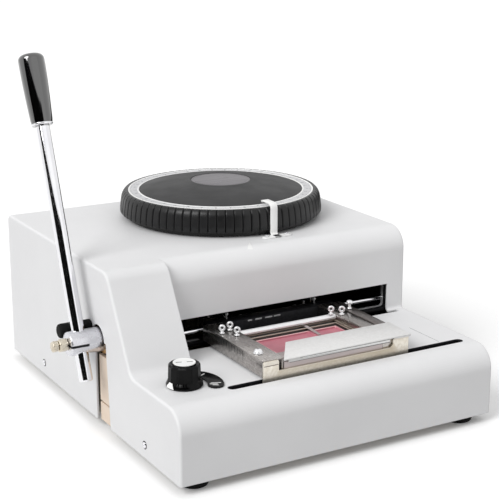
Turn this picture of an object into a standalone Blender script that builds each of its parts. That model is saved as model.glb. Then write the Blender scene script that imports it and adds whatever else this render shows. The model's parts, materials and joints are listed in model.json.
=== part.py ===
# Manual dog tag embosser: sheet-metal cover on a cast base, a type dial with a disc of
# dies below it, a lever press, and a sliding tag carriage.
#
# Places are given in the cover's own frame: x to the right from the cover's left side,
# y to the back from its front, z up from its bottom edge. The origin pivot then moves
# that frame so the whole machine stands on z = 0, centred in x and y.

import math

import bmesh
import bpy
from mathutils import Matrix, Vector

MM = 0.001

# Clearances
GAP = 0.3 * MM
RUN = 0.9 * MM
OVERRUN = 6 * MM

# Cover
COVER_W = 364 * MM
COVER_D = 440 * MM
COVER_H = 165 * MM
FACE_H = 92.7 * MM
FACE_Y = 158 * MM
SHEET = 2 * MM
FOLD_R = 24 * MM
BACK_R = 8 * MM
INNER_FOLD_R = 3 * MM
SIDE_EDGE_R = 2.6 * MM
CHEEK_W = 68 * MM
CHEEK_Y = 108.7 * MM
CHEEK_RISE = 5.7 * MM
CHEEK_TOP_Y = 156 * MM
CHEEK_CREST_DROP = 4 * MM
CHEEK_TOP_R = 16 * MM
CHEEK_FOOT_R = 14 * MM

# Throat: the opening in the tall front face and the notch in the deck before it
THROAT_FROM_CHEEK = 1 * MM
THROAT_FROM_RIGHT = 22.5 * MM
THROAT_H = 30.7 * MM
NOTCH_FROM_RIGHT = 11.6 * MM
NOTCH_FRONT = 148 * MM
NOTCH_END = 1 * MM

# Deck slot that the carriage's front plate runs in
SLOT_FROM_CHEEK = 1.5 * MM
SLOT_FROM_RIGHT = 13 * MM
SLOT_Y = 35 * MM
SLOT_W = 10 * MM

# Lever axis and hub
LEVER_Y = 182 * MM
LEVER_RISE = 17.3 * MM
HUB_R = 12.65 * MM
HUB_LEFT = 33.4 * MM
HUB_RIGHT = 4 * MM
HUB_SLIT = 3.2 * MM
HUB_SLIT_LENGTH = 19 * MM
HUB_CHAMFER = 1 * MM
HUB_WELL_R = 15.4 * MM
LEVER_SLOT_REAR = 189.5 * MM
LEVER_SLOT_FRONT = 163 * MM
LEVER_SLOT_FRONT_LOW = 156 * MM
SHAFT_R = 8 * MM
SHAFT_END = 58 * MM
LOCK_NUT_R = 7 * MM
LOCK_NUT_T = 9.6 * MM
LOCK_BOLT_R = 3 * MM
LOCK_HEAD_R = 6 * MM
LOCK_HEAD_T = 6.4 * MM

# Lever rod and grip
ROD_R = 7 * MM
ROD_X = 20 * MM
ROD_LEAN = math.radians(20.7)
ROD_BELOW = 40 * MM
ROD_END_CHAMFER = 1.2 * MM
ROD_IN_GRIP = 60 * MM
GRIP_START = 223 * MM
GRIP_LENGTH = 74 * MM
GRIP_TOP_R = 13.5 * MM
GRIP_LOW_R = 11 * MM
GRIP_ROUND = 4 * MM
LEVER_TRAVEL = math.radians(65)

# Lever stop
BUMPER_R = 7.6 * MM
BUMPER_LENGTH = 35 * MM
BUMPER_ALONG = 14.5 * MM
STUD_R = 3 * MM
STUD_CAP = 4 * MM

# Feet and base casting
FOOT_R = 15 * MM
FOOT_H = 10 * MM
FOOT_LOW_R = 13 * MM
FOOT_X = 25 * MM
FOOT_FRONT_Y = 22 * MM
FOOT_REAR_Y = 357 * MM
BASE_INSET = 8 * MM
BASE_H = 21 * MM
BASE_TOP = 6 * MM
BASE_RIM = 38 * MM

# Side frames and top bridge
FRAME_T = 8 * MM
FRAME_FRONT_Y = 24 * MM
FRAME_REAR_Y = 420 * MM
FRAME_DROP = 12.3 * MM
FRAME_STEP_Y = 161 * MM
FRAME_RISE_Y = 166 * MM
BRIDGE_DROP = 23 * MM
BRIDGE_T = 8 * MM
BRIDGE_FRONT_Y = 168 * MM

# Cover screws
SCREW_FRONT_Y = 75.4 * MM
SCREW_REAR_Y = 338.3 * MM
SCREW_Z = 14 * MM
SCREW_HEAD_R = 3.3 * MM
SCREW_HEAD_T = 1.2 * MM
SCREW_R = 1.6 * MM
SCREW_DOME_SHARES = (0.95, 0.75, 0.4)

# Lever bushing and return spring
BUSH_R = 13 * MM
BUSH_FLANGE_T = 3 * MM
SPRING_R = 11 * MM
SPRING_LENGTH = 11 * MM

# Press: eccentric, yoke and beam, ram, guide post, anvil
PRESS_TRAVEL = 4 * MM
CAM_R = 14 * MM
CAM_X = 30 * MM
CAM_T = 10 * MM
YOKE_WALL = 7 * MM
YOKE_PLAY = 0.5 * MM
BEAM_PLAY = 1 * MM
BEAM_T = 16 * MM
BEAM_Y = 172 * MM
RAM_NOSE = 24 * MM
RAM_NOSE_W = 18 * MM
RAM_NOSE_T = 10 * MM
POST_R = 5 * MM
POST_OFFSET = 33 * MM
POST_EYE = 12 * MM
POST_TAIL = 7 * MM
ANVIL_W = 30 * MM
ANVIL_D = 20 * MM

# Dial, its shaft and the two discs of dies
DIAL_FROM_RIGHT = 147 * MM
DIAL_Y = 318.5 * MM
WHEEL_R = 116.7 * MM
WHEEL_MAX_RISE = 12 * MM
WHEEL_TUCK = 6.7 * MM
WHEEL_RIB_RISE = 6 * MM
WHEEL_RISE = 29 * MM
WHEEL_RIM_INSET = 6 * MM
WHEEL_RIM_DROP = 0.3 * MM
WHEEL_SIDE_SHARES = ((0.34, 0.17), (0.81, 0.48))
WHEEL_WALL = 5 * MM
WHEEL_HUB_R = 20 * MM
WHEEL_RUN = 1 * MM
WHEEL_RIBS = 76
RIB_DEPTH = 1.4 * MM
RING_EDGE = 9.7 * MM
RING_W = 12.5 * MM
RING_T = 2.2 * MM
FACE_RISE = 11.7 * MM
FACE_SHARES = (0.85, 0.7, 0.55)
BADGE_R = 34 * MM
BADGE_T = 1 * MM
BADGE_DEPTH = 1.6 * MM
DIAL_SHAFT_R = 8 * MM
BEARING_R = 18 * MM
BEARING_T = 9 * MM
BEARING_FLANGE_R = 26 * MM
BEARING_FLANGE_T = 3 * MM
DISC_R = 118 * MM
DISC_HUB_R = 22 * MM
DISC_RIM = 9 * MM
DISC_WEB_T = 6 * MM
DIE_HEIGHT = 16 * MM
DIE_DEPTH = 3 * MM
DIE_COUNT = 24
DIE_DROP = 12.3 * MM
DIE_GAP = 16 * MM

# Pointer over the dial
POINTER_ASIDE = 2.2 * MM
POINTER_W = 8.5 * MM
POINTER_T = 1.5 * MM
POINTER_RISE = 6 * MM
POINTER_REACH = 24 * MM
POINTER_FLANGE_W = 36 * MM
POINTER_FLANGE_D = 8 * MM
POINTER_SCREW_OFFSET = 13 * MM
POINTER_SCREW_R = 2 * MM
POINTER_SCREW_T = 1.4 * MM

# Knob and its scale plate
KNOB_X = 37.5 * MM
KNOB_Y = 63 * MM
KNOB_SKIRT_R = 18 * MM
KNOB_SKIRT_T = 5.5 * MM
KNOB_R = 16.2 * MM
KNOB_H = 22.7 * MM
KNOB_EDGE = 1.4 * MM
KNOB_FLUTES = 14
KNOB_FLUTE_DEPTH = 0.8 * MM
KNOB_STEM_R = 3 * MM
KNOB_STEM_LENGTH = 14 * MM
CAP_R = 11 * MM
CAP_T = 1 * MM
SCALE_IN_R = 22 * MM
SCALE_OUT_R = 38 * MM
SCALE_HALF_ANGLE = math.radians(32)
SCALE_T = 1.2 * MM

# Carriage
CAR_W = 171.4 * MM
CAR_PLAY_SHARE = 0.3917
CAR_H = 17.8 * MM
CAR_RISE = 2.2 * MM
LEFT_BAR_W = 23.9 * MM
RIGHT_BARS_W = 30 * MM
INNER_BAR_W = 14.5 * MM
OUTER_BAR_W = 13 * MM
BAR_WALL = 2.5 * MM
FRONT_PLATE_Y = 34.7 * MM
FRONT_PLATE_T = 2 * MM
FRONT_PLATE_SUNK = 14.3 * MM
FRONT_EAR_DROP = 1.3 * MM
FRONT_BAND_RISE = 4.5 * MM
LEFT_EAR_W = 16 * MM
RIGHT_EAR_W = 19 * MM
EAR_CHAMFER = 4 * MM
BACK_RAIL_Y = 122 * MM
BACK_RAIL_T = 4.4 * MM
BACK_RAIL_H = 4.3 * MM
SLIDE_LEFT_INSET = 9.4 * MM
SLIDE_RIGHT_INSET = 4 * MM
SLIDE_D = 17 * MM
SLIDE_DROP = 2.3 * MM

# Rails and their bracket
RAIL_Y = 170 * MM
RAIL_RISE = 9.5 * MM
RAIL_R = 2.5 * MM
BRACKET_FROM_CHEEK = 2 * MM
BRACKET_FROM_RIGHT = 17 * MM
BRACKET_T = 4.5 * MM
BRACKET_CORNER_R = 4 * MM
BRACKET_SHELF_T = 4 * MM
BRACKET_FRONT = 161 * MM
BRACKET_D = 19 * MM
BRACKET_H = 33.5 * MM

# Clamp plate
CLAMP_BACK_Y = 69 * MM
CLAMP_BACK_RISE = 1.6 * MM
CLAMP_FRONT_Y = 31 * MM
CLAMP_FALL = 1.9 * MM
CLAMP_T = 1.2 * MM
CLAMP_BACK_INSET = 45.4 * MM
CLAMP_FRONT_INSET = 20.4 * MM
LIP_H = 4.5 * MM
LIP_LEFT_INSET = 26.4 * MM
LIP_RIGHT_INSET = 25 * MM

# Tag tray, insert and divider clip
TRAY_FRONT = 62 * MM
TRAY_REAR = 137 * MM
TRAY_RISE = 4.5 * MM
TRAY_H = 6.2 * MM
TRAY_STEP = 4 * MM
TRAY_STEP_T = 1.6 * MM
INSERT_LEFT_INSET = 11 * MM
INSERT_RIGHT_INSET = 7 * MM
INSERT_FRONT = 67 * MM
INSERT_REAR = 112 * MM
INSERT_FLOOR_T = 2 * MM
INSERT_T = 2.4 * MM
INSERT_RIM = 3 * MM
INSERT_POCKET = 1 * MM
CLIP_FROM_RIGHT = 33 * MM
CLIP_W = 4 * MM
CLIP_FRONT = 93 * MM
CLIP_REAR = 131 * MM
CLIP_T = 1.2 * MM
CLIP_FOOT = 6 * MM

# Thumb screws and the domed screw on the carriage
THUMB_R = 3.6 * MM
THUMB_H = 9.5 * MM
THUMB_NECK_R = 2 * MM
THUMB_NECK_H = 3 * MM
LEFT_THUMB_A_IN, LEFT_THUMB_A_Y = 5 * MM, 127 * MM
LEFT_THUMB_B_IN, LEFT_THUMB_B_Y = 16.9 * MM, 132 * MM
LEFT_THUMB_C_IN, LEFT_THUMB_C_Y = 15.2 * MM, 114 * MM
RAIL_THUMB_OUT = 5.6 * MM
INNER_THUMB_IN, INNER_THUMB_Y = 4 * MM, 118 * MM
OUTER_THUMB_IN, OUTER_THUMB_Y = 5 * MM, 130 * MM
DOME_IN, DOME_Y = 7.4 * MM, 58 * MM
DOME_R = 5.2 * MM
DOME_H = 4.6 * MM
DOME_SHARES = (1, 0.9, 0.6)

# Facets
ARC_STEPS = 6
FOLD_STEPS = 16
EDGE_STEPS = 3
SMALL_STEPS = 16
ROUND_STEPS = 32
DIAL_STEPS = 72
HALF_TURN = 180

# Worked-out heights
DECK_Z = COVER_H - FACE_H
CHEEK_Z = DECK_Z + CHEEK_RISE
CHEEK_TOP_Z = COVER_H - CHEEK_CREST_DROP
THROAT_TOP = DECK_Z + THROAT_H
LEVER_Z = DECK_Z + LEVER_RISE
FRAME_LOW_Z = DECK_Z - FRAME_DROP
BRIDGE_Z = COVER_H - BRIDGE_DROP
LOWER_DIE_Z = DECK_Z - DIE_DROP
UPPER_DIE_Z = LOWER_DIE_Z + DIE_HEIGHT + DIE_GAP
BEAM_Z = UPPER_DIE_Z + DIE_HEIGHT + PRESS_TRAVEL + BEAM_PLAY
POST_LOW_Z = BEAM_Z - POST_TAIL
WHEEL_MAX_Z = COVER_H + WHEEL_MAX_RISE
WHEEL_RIB_Z = COVER_H + WHEEL_RIB_RISE
WHEEL_TOP_Z = COVER_H + WHEEL_RISE
RING_Z = WHEEL_TOP_Z + RING_T
WHEEL_RIM_Z = RING_Z - WHEEL_RIM_DROP
POINTER_TOP_Z = RING_Z + POINTER_RISE
KNOB_TOP_Z = DECK_Z + KNOB_H
CAR_LOW = DECK_Z + CAR_RISE
CAR_TOP = CAR_LOW + CAR_H
FRONT_PLATE_LOW = DECK_Z - FRONT_PLATE_SUNK
FRONT_EAR_Z = CAR_TOP - FRONT_EAR_DROP
FRONT_BAND_Z = CAR_LOW + FRONT_BAND_RISE
SLIDE_TOP = CAR_TOP - SLIDE_DROP
RAIL_Z = CAR_LOW + RAIL_RISE
BRACKET_TOP = CAR_LOW + BRACKET_H
CLAMP_BACK_Z = CAR_TOP + CLAMP_BACK_RISE
CLAMP_FRONT_Z = CLAMP_BACK_Z - CLAMP_FALL
LIP_Z = CLAMP_FRONT_Z - LIP_H
TRAY_LOW = CAR_LOW + TRAY_RISE
TRAY_TOP = TRAY_LOW + TRAY_H

# Worked-out places
THROAT_LEFT = CHEEK_W + THROAT_FROM_CHEEK
THROAT_RIGHT = COVER_W - THROAT_FROM_RIGHT
NOTCH_RIGHT = COVER_W - NOTCH_FROM_RIGHT
SLOT_LEFT = CHEEK_W + SLOT_FROM_CHEEK
SLOT_RIGHT = COVER_W - SLOT_FROM_RIGHT
BRACKET_LEFT = CHEEK_W + BRACKET_FROM_CHEEK
BRACKET_RIGHT = COVER_W - BRACKET_FROM_RIGHT
DIAL_X = COVER_W - DIAL_FROM_RIGHT
POINTER_X = DIAL_X + POINTER_ASIDE
WHEEL_BASE_R = WHEEL_R - WHEEL_TUCK
RING_R = WHEEL_R - RING_EDGE
RING_INNER_R = RING_R - RING_W
CAR_LEFT = THROAT_LEFT + CAR_PLAY_SHARE * (THROAT_RIGHT - THROAT_LEFT - CAR_W)
CAR_RIGHT = CAR_LEFT + CAR_W
CAR_REAR = BRACKET_FRONT - RUN
INNER_BAR_X = CAR_RIGHT - RIGHT_BARS_W
OUTER_BAR_X = CAR_RIGHT - OUTER_BAR_W
SLIDE_LEFT = CAR_LEFT + SLIDE_LEFT_INSET
SLIDE_RIGHT = CAR_RIGHT - SLIDE_RIGHT_INSET
CLAMP_BACK_LEFT = CAR_LEFT + CLAMP_BACK_INSET
CLAMP_FRONT_LEFT = CAR_LEFT + CLAMP_FRONT_INSET
CLAMP_RIGHT = CAR_RIGHT + GAP * 2
LIP_LEFT = CAR_LEFT + LIP_LEFT_INSET
LIP_RIGHT = CAR_RIGHT - LIP_RIGHT_INSET
INSERT_LEFT = CAR_LEFT + LEFT_BAR_W + INSERT_LEFT_INSET
INSERT_RIGHT = INNER_BAR_X - INSERT_RIGHT_INSET
CLIP_X = INSERT_RIGHT - CLIP_FROM_RIGHT
SLOPE = math.atan2(CHEEK_TOP_Z - CHEEK_Z, CHEEK_TOP_Y - CHEEK_Y)
LEFT_REACH = HUB_LEFT + GAP + LOCK_NUT_T + GAP + LOCK_HEAD_T
RIGHT_REACH = COVER_W + GAP + SCREW_HEAD_T
ORIGIN_X = (RIGHT_REACH - LEFT_REACH) / 2
ORIGIN_Y = COVER_D / 2
CAM_OFFSET = PRESS_TRAVEL / (2 * math.sin(LEVER_TRAVEL / 2))
CAM_Y = LEVER_Y - CAM_OFFSET * math.cos(LEVER_TRAVEL / 2)
CAM_Z = LEVER_Z + CAM_OFFSET * math.sin(LEVER_TRAVEL / 2)
BUMPER_BACK = ROD_R + GAP + BUMPER_R
BUMPER_Y = LEVER_Y + BUMPER_ALONG * math.sin(ROD_LEAN) + BUMPER_BACK * math.cos(ROD_LEAN)
BUMPER_Z = LEVER_Z + BUMPER_ALONG * math.cos(ROD_LEAN) - BUMPER_BACK * math.sin(ROD_LEAN)
FRAME_IN = BASE_INSET + FRAME_T
POINTER_Y = DIAL_Y - WHEEL_R - RUN
CLAMP_PIVOT_Y = CLAMP_FRONT_Y + 2 * CLAMP_T
CLAMP_PIVOT_Z = CLAMP_FRONT_Z - CLAMP_T


def clear_scene():
    """Remove what the scene holds at the start."""
    for item in list(bpy.data.objects):
        bpy.data.objects.remove(item)


def material(name, colour, roughness, metallic=0.0):
    """Make a Principled material from a linear colour."""
    made = bpy.data.materials.new(name)
    made.use_nodes = True
    shader = made.node_tree.nodes["Principled BSDF"]
    shader.inputs["Base Color"].default_value = (*colour, 1.0)
    shader.inputs["Roughness"].default_value = roughness
    shader.inputs["Metallic"].default_value = metallic
    return made


class Pivot:
    """An empty on a joint's axis, with its place in the cover's frame."""

    def __init__(self, name, point, parent=None):
        self.point = Vector(point)
        self.empty = bpy.data.objects.new(name, None)
        bpy.context.collection.objects.link(self.empty)
        base = parent.point if parent else Vector((ORIGIN_X, ORIGIN_Y, -FOOT_H))
        self.empty.parent = parent.empty if parent else None
        self.empty.location = self.point - base


def add_object(name, shape, finish, pivot):
    """Turn a bmesh in the cover's frame into an object that hangs on a pivot."""
    bmesh.ops.recalc_face_normals(shape, faces=shape.faces)
    bmesh.ops.translate(shape, verts=shape.verts, vec=-pivot.point)
    mesh = bpy.data.meshes.new(name)
    shape.to_mesh(mesh)
    shape.free()
    mesh.materials.append(finish)
    mesh.shade_smooth()
    mesh.set_sharp_from_angle(angle=math.radians(32))
    made = bpy.data.objects.new(name, mesh)
    bpy.context.collection.objects.link(made)
    made.parent = pivot.empty
    return made


def boolean(target, shape, pivot, operation="DIFFERENCE"):
    """Cut a shape out of an object, or join it on, with a hidden cutter."""
    name = f"{target.name}_cutter_{len(target.modifiers)}"
    cutter = add_object(name, shape, target.data.materials[0], pivot)
    cutter.hide_render = True
    cutter.display_type = "WIRE"
    step = target.modifiers.new(name, "BOOLEAN")
    step.operation = operation
    step.solver = "EXACT"
    step.object = cutter


def spread(axis, along, pair):
    """A point from its place along an axis and the two other coordinates, in order."""
    point = list(pair)
    point.insert("XYZ".index(axis), along)
    return Vector(point)


def prism(outline, axis, low, high):
    """A closed solid: an outline extruded along an axis."""
    shape = bmesh.new()
    ends = [[shape.verts.new(spread(axis, at, pair)) for pair in outline] for at in (low, high)]
    shape.faces.new(ends[0])
    shape.faces.new(list(reversed(ends[1])))
    for k in range(len(outline)):
        n = (k + 1) % len(outline)
        shape.faces.new((ends[0][n], ends[0][k], ends[1][k], ends[1][n]))
    return shape


def box(low, high):
    """A closed box between two corners."""
    outline = [(low[0], low[1]), (high[0], low[1]), (high[0], high[1]), (low[0], high[1])]
    return prism(outline, "Z", low[2], high[2])


def turned(profile, steps, turn=None, ribs=(), depth=0.0):
    """A solid turned about Z from (radius, height) points.

    The profile either starts and ends on the axis, or is a closed loop round it. Points
    whose index is in ribs are drawn in by depth on every second step.
    """
    shape = bmesh.new()
    rings = []
    for index, (radius, height) in enumerate(profile):
        if radius == 0:
            rings.append([shape.verts.new((0, 0, height))])
            continue
        ring = []
        for k in range(steps):
            reach = radius - depth * (k % 2) if index in ribs else radius
            angle = math.tau * k / steps
            place = (reach * math.cos(angle), reach * math.sin(angle), height)
            ring.append(shape.verts.new(place))
        rings.append(ring)
    pairs = list(zip(rings, rings[1:]))
    if len(rings[0]) > 1:
        pairs.append((rings[-1], rings[0]))
    for lower, upper in pairs:
        for k in range(steps):
            n = (k + 1) % steps
            corners = [lower[k % len(lower)], lower[n % len(lower)],
                       upper[n % len(upper)], upper[k % len(upper)]]
            corners = list(dict.fromkeys(corners))
            if len(corners) > 2:
                shape.faces.new(corners)
    if turn is not None:
        bmesh.ops.transform(shape, matrix=turn, verts=shape.verts)
    return shape


def rod(radius, start, end, steps=ROUND_STEPS, chamfer=0.0):
    """A round bar between two points, with chamfered ends if asked."""
    start, end = Vector(start), Vector(end)
    length = (end - start).length
    if chamfer:
        profile = [(0, 0), (radius - chamfer, 0), (radius, chamfer),
                   (radius, length - chamfer), (radius - chamfer, length), (0, length)]
    else:
        profile = [(0, 0), (radius, 0), (radius, length), (0, length)]
    return turned(profile, steps, axis_turn(start, end))


def axis_turn(start, end):
    """The matrix that lays +Z along the line from start to end."""
    way = (Vector(end) - Vector(start)).normalized()
    spin = Vector((0, 0, 1)).rotation_difference(way).to_matrix().to_4x4()
    return Matrix.Translation(Vector(start)) @ spin


def at_x(x, y, z):
    """The matrix that puts a turned shape's axis along +X at a point."""
    return axis_turn((x, y, z), (x + 1, y, z))


def at_z(x, y, z=0.0):
    """The matrix that moves a turned shape to a point."""
    return Matrix.Translation((x, y, z))


def arc(centre, radius, start, end, steps=ARC_STEPS):
    """Points on an arc, angles in degrees."""
    points = []
    for k in range(steps + 1):
        angle = math.radians(start + (end - start) * k / steps)
        points.append((centre[0] + radius * math.cos(angle),
                       centre[1] + radius * math.sin(angle)))
    return points


def cover_outlines():
    """Side outlines of the cover: at the cheek on the left, and over the rest."""
    run = math.cos(SLOPE) / math.sin(SLOPE)
    foot_y = CHEEK_Y - (CHEEK_Z - DECK_Z) * run
    crest_y = CHEEK_Y + (COVER_H - CHEEK_Z) * run
    foot_back = CHEEK_FOOT_R * math.tan(SLOPE / 2)
    crest_back = CHEEK_TOP_R * math.tan(SLOPE / 2)
    slope_deg = math.degrees(SLOPE)
    front = [(0, 0)] + arc((FOLD_R, DECK_Z - FOLD_R), FOLD_R, 180, 90, FOLD_STEPS)
    split = [(foot_y - foot_back, DECK_Z)]
    cheek = arc((foot_y - foot_back, DECK_Z + CHEEK_FOOT_R), CHEEK_FOOT_R,
                -90, slope_deg - 90, FOLD_STEPS)[1:]
    cheek += arc((crest_y + crest_back, COVER_H - CHEEK_TOP_R), CHEEK_TOP_R,
                 90 + slope_deg, 90, FOLD_STEPS)
    wall = arc((FACE_Y - INNER_FOLD_R, DECK_Z + INNER_FOLD_R), INNER_FOLD_R, -90, 0, 3)
    wall += arc((FACE_Y + FOLD_R, COVER_H - FOLD_R), FOLD_R, 180, 90, FOLD_STEPS)[:-1]
    merge = [(FACE_Y + FOLD_R, COVER_H)]
    back = arc((COVER_D - BACK_R, COVER_H - BACK_R), BACK_R, 90, 0, FOLD_STEPS)
    back += [(COVER_D, 0)]
    return front, split, cheek, wall, merge, back


def inset_outline(points, inset):
    """An open outline moved inwards by a distance; its two ends stay on the floor line."""
    if not inset:
        return points
    moved = []
    for k, (y, z) in enumerate(points):
        if k in (0, len(points) - 1):
            moved.append((y + (inset if k == 0 else -inset), z))
            continue
        before = Vector(points[k]) - Vector(points[k - 1])
        after = Vector(points[k + 1]) - Vector(points[k])
        normal_before = Vector((before.y, -before.x)).normalized()
        normal_after = Vector((after.y, -after.x)).normalized()
        mitre = (normal_before + normal_after).normalized()
        reach = inset / mitre.dot(normal_after)
        moved.append((y + mitre.x * reach, z + mitre.y * reach))
    return moved


def cover_skin(shape, inset):
    """One skin of the cover, moved inwards by an inset. Gives its bottom rim's points."""
    front, split, cheek, wall, merge, back = cover_outlines()
    with_cheek = front + split + cheek + merge + back
    plain = front + split + wall + merge + back
    radius = SIDE_EDGE_R - inset
    turns = [math.radians(90 * k / EDGE_STEPS) for k in range(EDGE_STEPS + 1)]
    edge = [(inset + radius * (1 - math.cos(a)), inset + radius * (1 - math.sin(a)))
            for a in turns]

    def row(x, points, distance):
        return [shape.verts.new((x, *point)) for point in inset_outline(points, distance)]

    left_rows = [row(x, with_cheek, distance) for x, distance in edge]
    right_rows = [row(COVER_W - x, plain, distance) for x, distance in reversed(edge)]
    step = row(CHEEK_W - inset, with_cheek, inset)
    first, last = len(front), len(front) + 1 + len(cheek)
    wall_points = inset_outline(plain, inset)[first + 1:first + 1 + len(wall)]
    inner_wall = [shape.verts.new((CHEEK_W - inset, *point)) for point in wall_points]
    left_rows.append(step)
    right_rows.insert(0, step[:first + 1] + inner_wall + step[last:])
    for rows in (left_rows, right_rows):
        for near, far in zip(rows, rows[1:]):
            for k in range(len(near) - 1):
                shape.faces.new((near[k], far[k], far[k + 1], near[k + 1]))
    shape.faces.new(step[first:last + 1] + list(reversed(inner_wall)))
    shape.faces.new(left_rows[0])
    shape.faces.new(right_rows[-1])
    across = left_rows + right_rows[1:]
    return [points[0] for points in across] + [points[-1] for points in reversed(across)]


def build_cover(finish, pivot):
    """The bent sheet cover, with its cheek, throat, slots and screw holes."""
    shape = bmesh.new()
    outer = cover_skin(shape, 0)
    inner = cover_skin(shape, SHEET)
    for k, corner in enumerate(outer):
        n = (k + 1) % len(outer)
        shape.faces.new((corner, outer[n], inner[n], inner[k]))
    cover = add_object("cover", shape, finish, pivot)

    low, high = DECK_Z - OVERRUN, DECK_Z + OVERRUN
    boolean(cover, box((THROAT_LEFT, NOTCH_FRONT, low),
                       (THROAT_RIGHT, FACE_Y + OVERRUN, THROAT_TOP)), pivot)
    boolean(cover, box((THROAT_RIGHT - OVERRUN, NOTCH_FRONT, low),
                       (NOTCH_RIGHT, FACE_Y - INNER_FOLD_R - NOTCH_END, high)), pivot)
    half = SLOT_W / 2
    slot = arc((SLOT_RIGHT - half, SLOT_Y), half, -90, 90)
    slot += arc((SLOT_LEFT + half, SLOT_Y), half, 90, 270)
    boolean(cover, prism(slot, "Z", low, high), pivot)
    lever_slot = [(LEVER_SLOT_FRONT_LOW, -OVERRUN), (LEVER_SLOT_REAR, -OVERRUN),
                  (LEVER_SLOT_REAR, LEVER_Z), (LEVER_SLOT_FRONT, LEVER_Z)]
    boolean(cover, prism(lever_slot, "X", -OVERRUN, OVERRUN), pivot)
    well = rod(HUB_WELL_R, (-OVERRUN, LEVER_Y, LEVER_Z), (OVERRUN, LEVER_Y, LEVER_Z))
    boolean(cover, well, pivot)
    stud_hole = rod(STUD_R + GAP, (-OVERRUN, BUMPER_Y, BUMPER_Z),
                    (OVERRUN, BUMPER_Y, BUMPER_Z), SMALL_STEPS)
    boolean(cover, stud_hole, pivot)
    stem_hole = rod(KNOB_STEM_R + GAP, (KNOB_X, KNOB_Y, low), (KNOB_X, KNOB_Y, high),
                    SMALL_STEPS)
    boolean(cover, stem_hole, pivot)
    shaft_hole = rod(DIAL_SHAFT_R + RUN, (DIAL_X, DIAL_Y, COVER_H - OVERRUN),
                     (DIAL_X, DIAL_Y, COVER_H + OVERRUN))
    boolean(cover, shaft_hole, pivot)
    for y in (SCREW_FRONT_Y, SCREW_REAR_Y):
        boolean(cover, rod(SCREW_R + GAP, (-OVERRUN, y, SCREW_Z),
                           (COVER_W + OVERRUN, y, SCREW_Z), SMALL_STEPS), pivot)


def build_base(finish, rubber, pivot):
    """The cast base with its underside pocket, and the four feet under it."""
    base = add_object("base_casting", box((BASE_INSET, BASE_INSET, 0),
                      (COVER_W - BASE_INSET, COVER_D - BASE_INSET, BASE_H)), finish, pivot)
    rim = BASE_INSET + BASE_RIM
    boolean(base, box((rim, rim, -OVERRUN),
                      (COVER_W - rim, COVER_D - rim, BASE_H - BASE_TOP)), pivot)
    places = {"front_left": (FOOT_X, FOOT_FRONT_Y),
              "front_right": (COVER_W - FOOT_X, FOOT_FRONT_Y),
              "rear_left": (FOOT_X, FOOT_REAR_Y),
              "rear_right": (COVER_W - FOOT_X, FOOT_REAR_Y)}
    edge = FOOT_R - FOOT_LOW_R
    for side, (x, y) in places.items():
        profile = [(0, -FOOT_H), (FOOT_LOW_R, -FOOT_H), (FOOT_R, edge - FOOT_H),
                   (FOOT_R, -GAP), (0, -GAP)]
        add_object(f"foot_{side}", turned(profile, ROUND_STEPS, at_z(x, y)), rubber, pivot)


def build_cover_screws(finish, pivot):
    """Dome screws that hold the cover to the base on both sides."""
    dome = [(SCREW_HEAD_R, -GAP)] + [
        (SCREW_HEAD_R * share, -GAP - SCREW_HEAD_T * math.sqrt(1 - share ** 2))
        for share in SCREW_DOME_SHARES]
    profile = [(0, -GAP - SCREW_HEAD_T)] + dome[::-1]
    profile += [(SCREW_R, -GAP), (SCREW_R, BASE_INSET - GAP), (0, BASE_INSET - GAP)]
    for end, y in (("front", SCREW_FRONT_Y), ("rear", SCREW_REAR_Y)):
        left = turned(profile, SMALL_STEPS, at_x(0, y, SCREW_Z))
        add_object(f"cover_screw_left_{end}", left, finish, pivot)
        flip = axis_turn((COVER_W, y, SCREW_Z), (COVER_W - 1, y, SCREW_Z))
        right = turned(profile, SMALL_STEPS, flip)
        add_object(f"cover_screw_right_{end}", right, finish, pivot)


def build_frames(finish, pivot):
    """The two side frames that stand on the base and the bridge across their tops."""
    low = BASE_H + GAP
    top = BRIDGE_Z - GAP
    outline = [(FRAME_FRONT_Y, low), (FRAME_REAR_Y, low), (FRAME_REAR_Y, top),
               (FRAME_RISE_Y, top), (FRAME_STEP_Y, FRAME_LOW_Z), (FRAME_FRONT_Y, FRAME_LOW_Z)]
    left = add_object("left_side_frame", prism(outline, "X", BASE_INSET, FRAME_IN),
                      finish, pivot)
    boolean(left, rod(BUSH_R + GAP, (0, LEVER_Y, LEVER_Z),
                      (FRAME_IN + OVERRUN, LEVER_Y, LEVER_Z)), pivot)
    boolean(left, rod(STUD_R + GAP, (0, BUMPER_Y, BUMPER_Z),
                      (FRAME_IN + OVERRUN, BUMPER_Y, BUMPER_Z), SMALL_STEPS), pivot)
    add_object("right_side_frame", prism(outline, "X", COVER_W - FRAME_IN,
                                         COVER_W - BASE_INSET), finish, pivot)
    bridge = add_object("top_bridge", box((BASE_INSET, BRIDGE_FRONT_Y, BRIDGE_Z),
                        (COVER_W - BASE_INSET, FRAME_REAR_Y, BRIDGE_Z + BRIDGE_T)),
                        finish, pivot)
    boolean(bridge, rod(BEARING_R + GAP, (DIAL_X, DIAL_Y, BRIDGE_Z - OVERRUN),
                        (DIAL_X, DIAL_Y, BRIDGE_Z + BRIDGE_T + OVERRUN)), pivot)


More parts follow.
